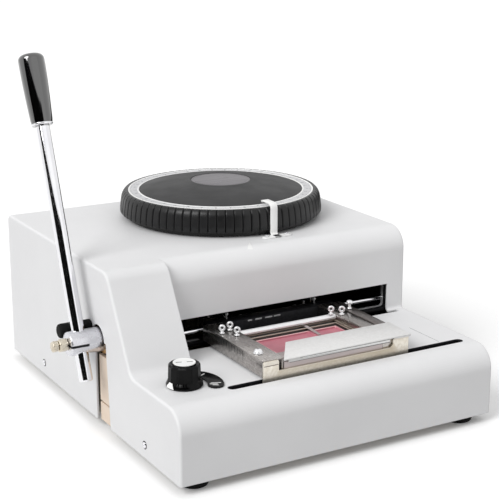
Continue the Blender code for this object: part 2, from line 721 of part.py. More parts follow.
def build_lever_seat(steel, brass, rubber, pivot):
    """What holds the lever on the frame: bushing, return spring, stop stud and bumper."""
    inner = SHAFT_R + GAP
    flange = BASE_INSET - GAP - BUSH_FLANGE_T
    profile = [(inner, flange), (BUSH_R + BUSH_FLANGE_T, flange),
               (BUSH_R + BUSH_FLANGE_T, BASE_INSET - GAP), (BUSH_R, BASE_INSET - GAP),
               (BUSH_R, FRAME_IN), (inner, FRAME_IN)]
    turn = at_x(0, LEVER_Y, LEVER_Z)
    add_object("lever_bushing", turned(profile, ROUND_STEPS, turn), brass, pivot)
    start = FRAME_IN + GAP
    ring = [(inner, start), (SPRING_R, start), (SPRING_R, start + SPRING_LENGTH),
            (inner, start + SPRING_LENGTH)]
    add_object("return_spring", turned(ring, ROUND_STEPS, turn), steel, pivot)
    seat = at_x(0, BUMPER_Y, BUMPER_Z)
    stud = [(0, -BUMPER_LENGTH + STUD_CAP + GAP), (STUD_R, -BUMPER_LENGTH + STUD_CAP + GAP),
            (STUD_R, FRAME_IN), (0, FRAME_IN)]
    add_object("bumper_stud", turned(stud, SMALL_STEPS, seat), steel, pivot)
    edge = GAP * 2
    sleeve = [(0, -BUMPER_LENGTH), (BUMPER_R - edge, -BUMPER_LENGTH),
              (BUMPER_R, -BUMPER_LENGTH + edge), (BUMPER_R, -GAP), (STUD_R + GAP, -GAP),
              (STUD_R + GAP, -BUMPER_LENGTH + STUD_CAP), (0, -BUMPER_LENGTH + STUD_CAP)]
    add_object("stop_bumper", turned(sleeve, ROUND_STEPS, seat), rubber, pivot)


def lever_point(along):
    """A point on the rod's axis at a distance above the hub's axis."""
    return (-ROD_X, LEVER_Y + along * math.sin(ROD_LEAN), LEVER_Z + along * math.cos(ROD_LEAN))


def build_lever(chrome, brass, black, steel, pivot):
    """The shaft, hub, lock bolt, rod, grip and eccentric that turn together."""
    turn = at_x(0, LEVER_Y, LEVER_Z)
    rod_hole = ROD_R + GAP
    shaft_start = -ROD_X + rod_hole + GAP
    shaft = [(0, shaft_start), (SHAFT_R, shaft_start), (SHAFT_R, SHAFT_END), (0, SHAFT_END)]
    add_object("lever_shaft", turned(shaft, ROUND_STEPS, turn), steel, pivot)

    edge = HUB_CHAMFER
    hub_profile = [(0, -HUB_LEFT), (HUB_R - edge, -HUB_LEFT), (HUB_R, edge - HUB_LEFT),
                   (HUB_R, HUB_RIGHT - edge), (HUB_R - edge, HUB_RIGHT), (0, HUB_RIGHT)]
    hub = add_object("lever_hub", turned(hub_profile, ROUND_STEPS * 3 // 2, turn),
                     chrome, pivot)
    boolean(hub, rod(SHAFT_R + GAP, (shaft_start - GAP, LEVER_Y, LEVER_Z),
                     (HUB_RIGHT + OVERRUN, LEVER_Y, LEVER_Z)), pivot)
    boolean(hub, rod(rod_hole, lever_point(-ROD_BELOW), lever_point(ROD_BELOW)), pivot)
    boolean(hub, rod(LOCK_BOLT_R + GAP, (-HUB_LEFT - OVERRUN, LEVER_Y, LEVER_Z),
                     (-ROD_X, LEVER_Y, LEVER_Z), SMALL_STEPS), pivot)
    half = HUB_SLIT / 2
    boolean(hub, box((-HUB_LEFT - OVERRUN, LEVER_Y - HUB_R - OVERRUN, LEVER_Z - half),
                     (HUB_SLIT_LENGTH - HUB_LEFT, LEVER_Y, LEVER_Z + half)), pivot)

    nut_right = -HUB_LEFT - GAP
    nut_left = nut_right - LOCK_NUT_T
    bore = (LOCK_BOLT_R + GAP) / math.cos(math.pi / 6)
    nut = [(bore, nut_left), (LOCK_NUT_R, nut_left), (LOCK_NUT_R, nut_right), (bore, nut_right)]
    add_object("hub_lock_nut", turned(nut, 6, turn), brass, pivot)
    head_right = nut_left - GAP
    head_left = head_right - LOCK_HEAD_T
    bolt_end = -ROD_X - rod_hole + GAP
    bolt = [(0, head_left), (LOCK_HEAD_R, head_left), (LOCK_HEAD_R, head_right),
            (LOCK_BOLT_R, head_right), (LOCK_BOLT_R, bolt_end - GAP), (0, bolt_end - GAP)]
    add_object("hub_lock_bolt", turned(bolt, 12, turn), brass, pivot)

    bar = rod(ROD_R, lever_point(-ROD_BELOW), lever_point(GRIP_START + ROD_IN_GRIP),
              ROUND_STEPS, ROD_END_CHAMFER)
    add_object("lever_rod", bar, chrome, pivot)
    inner = ROD_R + GAP
    deep = ROD_IN_GRIP + GAP
    low_round = GRIP_ROUND / 4
    grip = [(0, deep), (inner, deep), (inner, 0), (GRIP_LOW_R - low_round, 0),
            (GRIP_LOW_R, low_round)]
    grip += arc((GRIP_TOP_R - GRIP_ROUND, GRIP_LENGTH - GRIP_ROUND), GRIP_ROUND, 0, 90, 4)
    grip.append((0, GRIP_LENGTH))
    seat = axis_turn(lever_point(GRIP_START), lever_point(GRIP_START + GRIP_LENGTH))
    add_object("lever_grip", turned(grip, ROUND_STEPS, seat), black, pivot)

    cam = add_object("press_cam", rod(CAM_R, (CAM_X, CAM_Y, CAM_Z),
                                      (CAM_X + CAM_T, CAM_Y, CAM_Z)), steel, pivot)
    boolean(cam, rod(SHAFT_R + GAP, (CAM_X - OVERRUN, LEVER_Y, LEVER_Z),
                     (CAM_X + CAM_T + OVERRUN, LEVER_Y, LEVER_Z)), pivot)


def build_press(steel, pivot, fixed):
    """The beam that the eccentric pulls down, its guide post and the anvil."""
    reach = CAM_R + YOKE_PLAY
    side = reach + CAM_OFFSET * (1 - math.cos(LEVER_TRAVEL / 2))
    yoke_front = CAM_Y - side - YOKE_WALL
    yoke_rear = CAM_Y + side + YOKE_WALL
    yoke = box((CAM_X, yoke_front, CAM_Z - reach - YOKE_WALL),
               (CAM_X + CAM_T, yoke_rear, BEAM_Z + BEAM_T / 2))
    beam = add_object("press_beam", yoke, steel, pivot)
    boolean(beam, box((CAM_X - OVERRUN, CAM_Y - side, CAM_Z - reach),
                      (CAM_X + CAM_T + OVERRUN, CAM_Y + side, CAM_Z + reach)), pivot)
    beam_end = DIAL_X + POST_OFFSET + POST_EYE
    boolean(beam, box((CAM_X + CAM_T / 2, BEAM_Y, BEAM_Z),
                      (beam_end, BEAM_Y + BEAM_T, BEAM_Z + BEAM_T)), pivot, "UNION")
    nose_half = RAM_NOSE_W / 2
    boolean(beam, box((DIAL_X - nose_half, BEAM_Y + BEAM_T / 2, BEAM_Z - GAP),
                      (DIAL_X + nose_half, BEAM_Y + BEAM_T + RAM_NOSE,
                       BEAM_Z + RAM_NOSE_T)), pivot, "UNION")
    post_x, post_y = DIAL_X + POST_OFFSET, BEAM_Y + BEAM_T / 2
    boolean(beam, rod(POST_R + GAP, (post_x, post_y, BEAM_Z - OVERRUN),
                      (post_x, post_y, BEAM_Z + BEAM_T + OVERRUN)), pivot)
    add_object("guide_post", rod(POST_R, (post_x, post_y, POST_LOW_Z),
                                 (post_x, post_y, BRIDGE_Z - GAP)), steel, fixed)
    front = DIAL_Y - DISC_R + DIE_DEPTH
    add_object("anvil_block", box((DIAL_X - ANVIL_W / 2, front, BASE_H + GAP),
                                  (DIAL_X + ANVIL_W / 2, front + ANVIL_D,
                                   LOWER_DIE_Z - RUN)), steel, fixed)


def disc_profile(low):
    """Section of a disc of dies: hub, thin web and deep rim, bored for the shaft."""
    bore = DIAL_SHAFT_R + GAP
    middle = low + DIE_HEIGHT / 2
    web_low, web_high = middle - DISC_WEB_T / 2, middle + DISC_WEB_T / 2
    rim = DISC_R - DISC_RIM
    return [(bore, low), (DISC_HUB_R, low), (DISC_HUB_R, web_low), (rim, web_low),
            (rim, low), (DISC_R, low), (DISC_R, low + DIE_HEIGHT), (rim, low + DIE_HEIGHT),
            (rim, web_high), (DISC_HUB_R, web_high), (DISC_HUB_R, low + DIE_HEIGHT),
            (bore, low + DIE_HEIGHT)]


def build_dial(black, white, steel, pivot):
    """The dial wheel with its ring and domed face, the shaft and the two die discs."""
    bore = DIAL_SHAFT_R + GAP
    low = COVER_H + WHEEL_RUN
    roof = WHEEL_TOP_Z - WHEEL_WALL
    inner = WHEEL_BASE_R - WHEEL_WALL
    edge = RING_R + GAP
    profile = [(0, low), (WHEEL_BASE_R, low), (WHEEL_BASE_R, WHEEL_RIB_Z),
               (WHEEL_R - RIB_DEPTH, WHEEL_RIB_Z + RIB_DEPTH), (WHEEL_R, WHEEL_MAX_Z)]
    for rise, inset in WHEEL_SIDE_SHARES:
        profile.append((WHEEL_R - WHEEL_RIM_INSET * inset,
                        WHEEL_MAX_Z + (WHEEL_RIM_Z - WHEEL_MAX_Z) * rise))
    profile += [(WHEEL_R - WHEEL_RIM_INSET, WHEEL_RIM_Z), (edge, WHEEL_RIM_Z),
                (edge, WHEEL_TOP_Z), (0, WHEEL_TOP_Z)]
    turn = at_z(DIAL_X, DIAL_Y)
    wheel = add_object("dial_wheel", turned(profile, WHEEL_RIBS * 2, turn, (3, 4, 5, 6),
                                            RIB_DEPTH), black, pivot)
    hollow = [(WHEEL_HUB_R, low - OVERRUN), (inner, low - OVERRUN), (inner, roof),
              (WHEEL_HUB_R, roof)]
    boolean(wheel, turned(hollow, ROUND_STEPS, turn), pivot)
    boolean(wheel, rod(bore, (DIAL_X, DIAL_Y, low - OVERRUN),
                       (DIAL_X, DIAL_Y, WHEEL_TOP_Z + OVERRUN)), pivot)
    seat = WHEEL_TOP_Z + GAP
    ring = [(RING_INNER_R, seat), (RING_R, seat), (RING_R, RING_Z), (RING_INNER_R, RING_Z)]
    add_object("dial_ring", turned(ring, DIAL_STEPS, turn), white, pivot)
    rim = RING_INNER_R - GAP
    face = [(0, seat), (rim, seat), (rim, RING_Z)]
    for share in FACE_SHARES:
        face.append((rim * share, RING_Z + FACE_RISE * (1 - share ** 2)))
    badge_edge = BADGE_R + GAP
    top = RING_Z + FACE_RISE * (1 - (badge_edge / rim) ** 2)
    face += [(badge_edge, top), (badge_edge, top - BADGE_DEPTH), (0, top - BADGE_DEPTH)]
    add_object("dial_face", turned(face, DIAL_STEPS, turn), black, pivot)
    plate = top - BADGE_DEPTH + GAP
    badge = [(0, plate), (BADGE_R, plate), (BADGE_R, plate + BADGE_T), (0, plate + BADGE_T)]
    add_object("dial_badge", turned(badge, ROUND_STEPS * 2, turn), black, pivot)
    shaft = rod(DIAL_SHAFT_R, (DIAL_X, DIAL_Y, BASE_H + GAP),
                (DIAL_X, DIAL_Y, WHEEL_TOP_Z - GAP))
    add_object("dial_shaft", shaft, steel, pivot)
    for name, z in (("lower_die_disc", LOWER_DIE_Z), ("upper_die_disc", UPPER_DIE_Z)):
        disc = turned(disc_profile(z), DIE_COUNT * 2, turn, (5, 6), DIE_DEPTH)
        add_object(name, disc, steel, pivot)


def build_dial_bearing(brass, pivot):
    """The flanged bearing in the bridge that carries the dial's shaft."""
    bore = DIAL_SHAFT_R + GAP
    top = BRIDGE_Z + BRIDGE_T + GAP
    low = top - BEARING_T
    profile = [(bore, low), (BEARING_R, low), (BEARING_R, top), (BEARING_FLANGE_R, top),
               (BEARING_FLANGE_R, top + BEARING_FLANGE_T), (bore, top + BEARING_FLANGE_T)]
    turn = at_z(DIAL_X, DIAL_Y)
    add_object("dial_bearing", turned(profile, ROUND_STEPS, turn), brass, pivot)


def build_pointer(white, chrome, pivot):
    """The bent strip that marks the chosen character, with its two screws."""
    half = POINTER_W / 2
    rear = POINTER_Y
    front = rear - POINTER_T
    low = COVER_H + GAP
    flange_top = low + POINTER_T
    flange_front = front - POINTER_FLANGE_D
    hood_low = POINTER_TOP_Z - POINTER_T
    side = [(flange_front, low), (rear, low), (rear, hood_low),
            (rear + POINTER_REACH, hood_low), (rear + POINTER_REACH, POINTER_TOP_Z),
            (front + POINTER_T, POINTER_TOP_Z), (front, hood_low), (front, flange_top),
            (flange_front, flange_top)]
    strip = prism(side, "X", POINTER_X - half, POINTER_X + half)
    pointer = add_object("dial_pointer", strip, white, pivot)
    flange_half = POINTER_FLANGE_W / 2
    boolean(pointer, box((POINTER_X - flange_half, flange_front - GAP, low),
                         (POINTER_X + flange_half, front - GAP, flange_top)),
            pivot, "UNION")
    seat = flange_top + GAP
    edge = POINTER_SCREW_T / 3
    profile = [(0, seat), (POINTER_SCREW_R, seat),
               (POINTER_SCREW_R, seat + POINTER_SCREW_T - edge),
               (POINTER_SCREW_R - edge, seat + POINTER_SCREW_T), (0, seat + POINTER_SCREW_T)]
    y = (flange_front + front) / 2
    for name, way in (("left", -1), ("right", 1)):
        spot = at_z(POINTER_X + way * POINTER_SCREW_OFFSET, y)
        add_object(f"pointer_screw_{name}", turned(profile, SMALL_STEPS, spot), chrome, pivot)


def build_knob(black, white, pivot):
    """The fluted pressure knob with its stem and the pale cap on top."""
    low = DECK_Z + GAP
    stem_low = DECK_Z - KNOB_STEM_LENGTH
    skirt_top = low + KNOB_SKIRT_T
    waist = low + KNOB_SKIRT_T / 2
    profile = [(0, stem_low), (KNOB_STEM_R, stem_low), (KNOB_STEM_R, low),
               (KNOB_SKIRT_R, low), (KNOB_SKIRT_R, waist), (KNOB_R, skirt_top),
               (KNOB_R, KNOB_TOP_Z - KNOB_EDGE), (KNOB_R - KNOB_EDGE, KNOB_TOP_Z),
               (0, KNOB_TOP_Z)]
    turn = at_z(KNOB_X, KNOB_Y)
    knob = turned(profile, KNOB_FLUTES * 2, turn, (5, 6), KNOB_FLUTE_DEPTH)
    add_object("pressure_knob", knob, black, pivot)
    seat = KNOB_TOP_Z + GAP
    cap = [(0, seat), (CAP_R, seat), (CAP_R, seat + CAP_T), (0, seat + CAP_T)]
    add_object("knob_cap", turned(cap, ROUND_STEPS, turn), white, pivot)


def build_scale(black, pivot):
    """The curved scale plate beside the knob, with round ends."""
    middle = (SCALE_IN_R + SCALE_OUT_R) / 2
    half = (SCALE_OUT_R - SCALE_IN_R) / 2
    swing = math.degrees(SCALE_HALF_ANGLE)

    def end(angle):
        turn = math.radians(angle)
        return (KNOB_X + middle * math.cos(turn), KNOB_Y + middle * math.sin(turn))

    outline = arc((KNOB_X, KNOB_Y), SCALE_OUT_R, -swing, swing, 8)
    outline += arc(end(swing), half, swing, swing + HALF_TURN)[1:-1]
    outline += arc((KNOB_X, KNOB_Y), SCALE_IN_R, swing, -swing, 8)
    outline += arc(end(-swing), half, HALF_TURN - swing, 2 * HALF_TURN - swing)[1:-1]
    low = DECK_Z + GAP
    add_object("scale_plate", prism(outline, "Z", low, low + SCALE_T), black, pivot)


def build_rails(black, chrome, pivot):
    """The bracket behind the throat, whose shelf is the lower way, and the guide rail."""
    low = BASE_H + GAP
    left_in = BRACKET_LEFT + BRACKET_T
    right_in = BRACKET_RIGHT - BRACKET_T
    shelf = CAR_LOW
    under = shelf - BRACKET_SHELF_T
    corner = BRACKET_CORNER_R
    outline = [(BRACKET_LEFT, low), (left_in, low), (left_in, under), (right_in, under),
               (right_in, low), (BRACKET_RIGHT, low), (BRACKET_RIGHT, BRACKET_TOP),
               (right_in, BRACKET_TOP)]
    outline += arc((right_in - corner, shelf + corner), corner, 0, -90, 4)
    outline += arc((left_in + corner, shelf + corner), corner, -90, -180, 4)
    outline += [(left_in, BRACKET_TOP), (BRACKET_LEFT, BRACKET_TOP)]
    add_object("rail_bracket", prism(outline, "Y", BRACKET_FRONT, BRACKET_FRONT + BRACKET_D),
               black, pivot)
    bar = rod(RAIL_R, (left_in + GAP, RAIL_Y, RAIL_Z), (right_in - GAP, RAIL_Y, RAIL_Z),
              SMALL_STEPS)
    add_object("guide_rail", bar, chrome, pivot)


def clamp_under(y):
    """Height of the clamp plate's underside at a place along the machine."""
    share = (y - CLAMP_FRONT_Y) / (CLAMP_BACK_Y - CLAMP_FRONT_Y)
    return CLAMP_FRONT_Z + (CLAMP_BACK_Z - CLAMP_FRONT_Z) * share - CLAMP_T


def build_carriage(steel, dark_steel, cream, chrome, pivot):
    """The sliding carriage: three bars, front plate, back rail and rear slide block."""
    start = FRONT_PLATE_Y + FRONT_PLATE_T + GAP
    right = CAR_LEFT + LEFT_BAR_W
    wall = BAR_WALL
    channel = [(CAR_LEFT, CAR_LOW), (CAR_LEFT, CAR_TOP), (right, CAR_TOP), (right, CAR_LOW),
               (right - wall, CAR_LOW), (right - wall, CAR_TOP - wall),
               (CAR_LEFT + wall, CAR_TOP - wall), (CAR_LEFT + wall, CAR_LOW)]
    add_object("carriage_left_bar", prism(channel, "Y", start, CAR_REAR), steel, pivot)
    side = [(start, CAR_LOW), (CAR_REAR, CAR_LOW), (CAR_REAR, CAR_TOP),
            (CLAMP_BACK_Y, CAR_TOP), (start, clamp_under(start) - GAP)]
    inner_end = INNER_BAR_X + INNER_BAR_W
    add_object("carriage_inner_bar", prism(side, "X", INNER_BAR_X, inner_end), steel, pivot)
    add_object("carriage_outer_bar", prism(side, "X", OUTER_BAR_X, CAR_RIGHT),
               dark_steel, pivot)

    plate_right = CAR_RIGHT + GAP * 2
    left_in = CAR_LEFT + LEFT_EAR_W
    right_in = plate_right - RIGHT_EAR_W
    right_top = clamp_under(FRONT_PLATE_Y) - GAP
    front = [(CAR_LEFT, FRONT_PLATE_LOW), (plate_right, FRONT_PLATE_LOW),
             (plate_right, right_top), (right_in, right_top),
             (right_in, FRONT_BAND_Z + EAR_CHAMFER), (right_in - EAR_CHAMFER, FRONT_BAND_Z),
             (left_in, FRONT_BAND_Z), (left_in, FRONT_EAR_Z), (CAR_LEFT, FRONT_EAR_Z)]
    plate = prism(front, "Y", FRONT_PLATE_Y, FRONT_PLATE_Y + FRONT_PLATE_T)
    add_object("carriage_front_plate", plate, cream, pivot)
    rail_top = CAR_TOP - GAP
    rail = box((right + GAP, BACK_RAIL_Y, rail_top - BACK_RAIL_H),
               (INNER_BAR_X - GAP, BACK_RAIL_Y + BACK_RAIL_T, rail_top))
    add_object("carriage_back_rail", rail, chrome, pivot)
    block = box((SLIDE_LEFT, CAR_REAR + GAP, CAR_LOW + GAP),
                (SLIDE_RIGHT, CAR_REAR + GAP + SLIDE_D, SLIDE_TOP))
    slide = add_object("carriage_slide", block, dark_steel, pivot)
    boolean(slide, rod(RAIL_R + GAP, (SLIDE_LEFT - OVERRUN, RAIL_Y, RAIL_Z),
                       (SLIDE_RIGHT + OVERRUN, RAIL_Y, RAIL_Z), SMALL_STEPS), pivot)


def build_carriage_screws(chrome, pivot):
    """The finger screws and the domed screw that stand on the carriage's bars."""
    seat = CAR_TOP + GAP
    neck = seat + THUMB_NECK_H
    top = seat + THUMB_H
    edge = THUMB_R / 4
    thumb = [(0, seat), (THUMB_NECK_R, seat), (THUMB_NECK_R, neck), (THUMB_R, neck + edge),
             (THUMB_R, top - edge), (THUMB_R - edge, top), (0, top)]
    places = {"left_a": (CAR_LEFT + LEFT_THUMB_A_IN, LEFT_THUMB_A_Y),
              "left_b": (CAR_LEFT + LEFT_THUMB_B_IN, LEFT_THUMB_B_Y),
              "left_c": (CAR_LEFT + LEFT_THUMB_C_IN, LEFT_THUMB_C_Y),
              "right_a": (INNER_BAR_X - RAIL_THUMB_OUT, BACK_RAIL_Y + BACK_RAIL_T / 2),
              "right_b": (INNER_BAR_X + INNER_THUMB_IN, INNER_THUMB_Y),
              "right_c": (OUTER_BAR_X + OUTER_THUMB_IN, OUTER_THUMB_Y)}
    for name, (x, y) in places.items():
        add_object(f"thumb_screw_{name}", turned(thumb, SMALL_STEPS, at_z(x, y)),
                   chrome, pivot)
    dome = [(0, seat)]
    for share in DOME_SHARES:
        dome.append((DOME_R * share, seat + DOME_H * math.sqrt(1 - share ** 2)))
    dome.append((0, seat + DOME_H))
    add_object("dome_screw", turned(dome, SMALL_STEPS, at_z(CAR_LEFT + DOME_IN, DOME_Y)),
               chrome, pivot)


def build_clamp(white, pivot):
    """The hinged plate over the tray's front, with its bent lip."""
    outline = [(CLAMP_FRONT_LEFT, CLAMP_FRONT_Y), (CLAMP_RIGHT, CLAMP_FRONT_Y),
               (CLAMP_RIGHT, CLAMP_BACK_Y), (CLAMP_BACK_LEFT, CLAMP_BACK_Y)]
    sheet = prism(outline, "Z", 0, CLAMP_T)
    for vert in sheet.verts:
        vert.co.z += clamp_under(vert.co.y)
    plate = add_object("clamp_plate", sheet, white, pivot)
    lip = box((LIP_LEFT, CLAMP_FRONT_Y, LIP_Z),
              (LIP_RIGHT, CLAMP_FRONT_Y + CLAMP_T, CLAMP_FRONT_Z - CLAMP_T / 2))
    bmesh.ops.translate(lip, verts=lip.verts, vec=(0, GAP, 0))
    boolean(plate, lip, pivot, "UNION")


def build_tray(brown, pink, chrome, pivot):
    """The tag tray with its stepped frame, its insert and the divider clip."""
    left = CAR_LEFT + LEFT_BAR_W + GAP
    right = INNER_BAR_X - GAP
    floor = TRAY_LOW + INSERT_FLOOR_T
    tray = add_object("tag_tray", box((left, TRAY_FRONT, TRAY_LOW),
                                      (right, TRAY_REAR, TRAY_TOP)), brown, pivot)
    boolean(tray, box((INSERT_LEFT - TRAY_STEP * 2, INSERT_FRONT - GAP, TRAY_TOP - TRAY_STEP_T),
                      (INSERT_RIGHT + TRAY_STEP, TRAY_REAR - TRAY_STEP * 2,
                       TRAY_TOP + OVERRUN)), pivot)
    boolean(tray, box((INSERT_LEFT - GAP, INSERT_FRONT - GAP, floor),
                      (INSERT_RIGHT + GAP, INSERT_REAR + GAP, TRAY_TOP + OVERRUN)), pivot)
    seat = floor + GAP
    top = seat + INSERT_T
    insert = add_object("tray_insert", box((INSERT_LEFT, INSERT_FRONT, seat),
                                           (INSERT_RIGHT, INSERT_REAR, top)), pink, pivot)
    clip_left, clip_right = CLIP_X - CLIP_W / 2, CLIP_X + CLIP_W / 2
    for low_x, high_x in ((INSERT_LEFT + INSERT_RIM, clip_left - INSERT_RIM),
                          (clip_right + INSERT_RIM, INSERT_RIGHT - INSERT_RIM)):
        pocket = box((low_x, INSERT_FRONT + INSERT_RIM, top - INSERT_POCKET),
                     (high_x, INSERT_REAR - INSERT_RIM, top + OVERRUN))
        boolean(insert, pocket, pivot)
    strip = TRAY_TOP + GAP
    side = [(CLIP_REAR, strip), (CLIP_REAR, strip + CLIP_T), (CLIP_FRONT, strip + CLIP_T),
            (CLIP_FRONT, top + GAP), (CLIP_FRONT + CLIP_FOOT, top + GAP),
            (CLIP_FRONT + CLIP_FOOT, strip)]
    add_object("divider_clip", prism(side, "X", clip_left, clip_right), chrome, pivot)


def main():
    """Build every sub-part on its pivot."""
    clear_scene()
    powder = material("powder_coat", (0.72, 0.72, 0.73), 0.42)
    cream = material("cream_paint", (0.68, 0.6, 0.48), 0.45)
    plate_gold = material("nickel_plate", (0.66, 0.62, 0.5), 0.3, 1.0)
    steel = material("ground_steel", (0.42, 0.41, 0.41), 0.35, 1.0)
    dark_steel = material("dark_steel", (0.22, 0.2, 0.19), 0.45, 1.0)
    chrome = material("chrome", (0.85, 0.85, 0.86), 0.08, 1.0)
    brass = material("bearing_bronze", (0.6, 0.45, 0.22), 0.35, 1.0)
    black = material("black_plastic", (0.012, 0.012, 0.013), 0.35)
    rubber = material("black_rubber", (0.015, 0.015, 0.015), 0.7)
    white = material("white_paint", (0.8, 0.8, 0.8), 0.4)
    pink = material("pink_plastic", (0.62, 0.2, 0.24), 0.4)

    origin = Pivot("machine", (0, 0, 0))
    lever = Pivot("lever_axis", (-ROD_X, LEVER_Y, LEVER_Z), origin)
    press = Pivot("press_slide", (DIAL_X, BEAM_Y, BEAM_Z), origin)
    dial = Pivot("dial_axis", (DIAL_X, DIAL_Y, COVER_H), origin)
    knob = Pivot("knob_axis", (KNOB_X, KNOB_Y, DECK_Z), origin)
    carriage = Pivot("carriage_slide_axis", (DIAL_X, RAIL_Y, RAIL_Z), origin)
    tray = Pivot("tray_slide_axis", (CLIP_X, TRAY_FRONT, TRAY_LOW), carriage)
    clamp = Pivot("clamp_axis", (DIAL_X, CLAMP_PIVOT_Y, CLAMP_PIVOT_Z), carriage)

    build_cover(powder, origin)
    build_base(cream, rubber, origin)
    build_cover_screws(chrome, origin)
    build_frames(cream, origin)
    build_lever_seat(steel, brass, rubber, origin)
    build_lever(chrome, brass, black, steel, lever)
    build_press(steel, press, origin)
    build_dial(black, white, steel, dial)
    build_dial_bearing(brass, origin)
    build_pointer(white, chrome, origin)
    build_knob(black, white, knob)
    build_scale(black, origin)
    build_rails(dark_steel, chrome, origin)
    build_carriage(steel, dark_steel, plate_gold, chrome, carriage)
    build_carriage_screws(chrome, carriage)
    build_clamp(white, clamp)
    build_tray(dark_steel, pink, chrome, tray)


main()
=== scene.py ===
"""Looks of the manual dog tag embosser: finishes, fine pieces, light and camera.

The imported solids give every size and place. What they leave out is built here: the ribbed
dial, the folded cover's marks, the lever's hub, the knob, the carriage and its screws.
Shapes are made in millimetres, and turn to metres as they become pieces.
"""

import json
import logging
import math
from collections.abc import Callable
from dataclasses import dataclass
from enum import Enum

import bmesh
import bpy
from mathutils import Matrix, Vector

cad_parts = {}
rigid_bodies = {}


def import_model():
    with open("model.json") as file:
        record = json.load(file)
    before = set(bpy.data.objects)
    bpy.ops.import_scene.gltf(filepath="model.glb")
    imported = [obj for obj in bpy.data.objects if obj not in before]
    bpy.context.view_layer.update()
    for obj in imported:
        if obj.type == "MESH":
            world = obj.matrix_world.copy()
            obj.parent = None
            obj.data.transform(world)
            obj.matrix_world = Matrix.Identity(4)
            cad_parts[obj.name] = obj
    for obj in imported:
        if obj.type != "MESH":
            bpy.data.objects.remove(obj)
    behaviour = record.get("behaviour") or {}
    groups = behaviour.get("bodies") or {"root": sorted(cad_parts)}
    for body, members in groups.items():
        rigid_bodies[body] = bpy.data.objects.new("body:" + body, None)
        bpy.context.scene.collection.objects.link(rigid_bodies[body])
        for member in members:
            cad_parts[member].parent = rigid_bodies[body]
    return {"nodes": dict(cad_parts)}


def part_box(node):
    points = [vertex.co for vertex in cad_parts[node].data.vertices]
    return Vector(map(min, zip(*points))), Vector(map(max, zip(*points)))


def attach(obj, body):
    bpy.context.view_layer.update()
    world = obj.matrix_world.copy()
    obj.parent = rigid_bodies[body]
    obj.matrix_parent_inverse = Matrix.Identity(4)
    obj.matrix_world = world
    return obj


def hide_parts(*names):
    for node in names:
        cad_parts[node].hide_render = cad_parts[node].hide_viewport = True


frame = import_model()
log = logging.getLogger("embosser")
MM = 0.001
Tree, Socket = bpy.types.NodeTree, bpy.types.NodeSocket
Shape = bmesh.types.BMesh
Line = list[tuple[float, float]]
Spot = tuple[float, float, float]


# Colour and nodes

def linear(code: str) -> tuple[float, ...]:
    """Turn an sRGB hex code into a linear colour.

    Args:
        code: six hex digits, such as "C8C8C9".

    Returns:
        Red, green, blue and an alpha of 1, linear.
    """
    parts = [int(code[k:k + 2], 16) / 255 for k in (0, 2, 4)]
    made = [p / 12.92 if p <= 0.04045 else ((p + 0.055) / 1.055) ** 2.4 for p in parts]
    return (*made, 1.0)


def add(tree: Tree, kind: str, links: dict | None = None,
        **settings: object) -> bpy.types.Node:
    """Add a node with its settings and links.

    Args:
        tree: node tree of the material or the world.
        kind: Blender's node type.
        links: input name or index mapped to a value, or to the socket that feeds it.
        settings: properties of the node itself.

    Returns:
        The new node.
    """
    node = tree.nodes.new(kind)
    for name, value in settings.items():
        setattr(node, name, value)
    for name, value in (links or {}).items():
        if isinstance(value, Socket):
            tree.links.new(value, node.inputs[name])
        else:
            node.inputs[name].default_value = value
    return node


# Finishes

class Grain(Enum):
    """The way a surface's texture runs, as how far each axis is stretched."""

    EVEN = (1.0, 1.0, 1.0)
    ALONG_X = (0.04, 1.0, 1.0)
    ALONG_Y = (1.0, 0.04, 1.0)


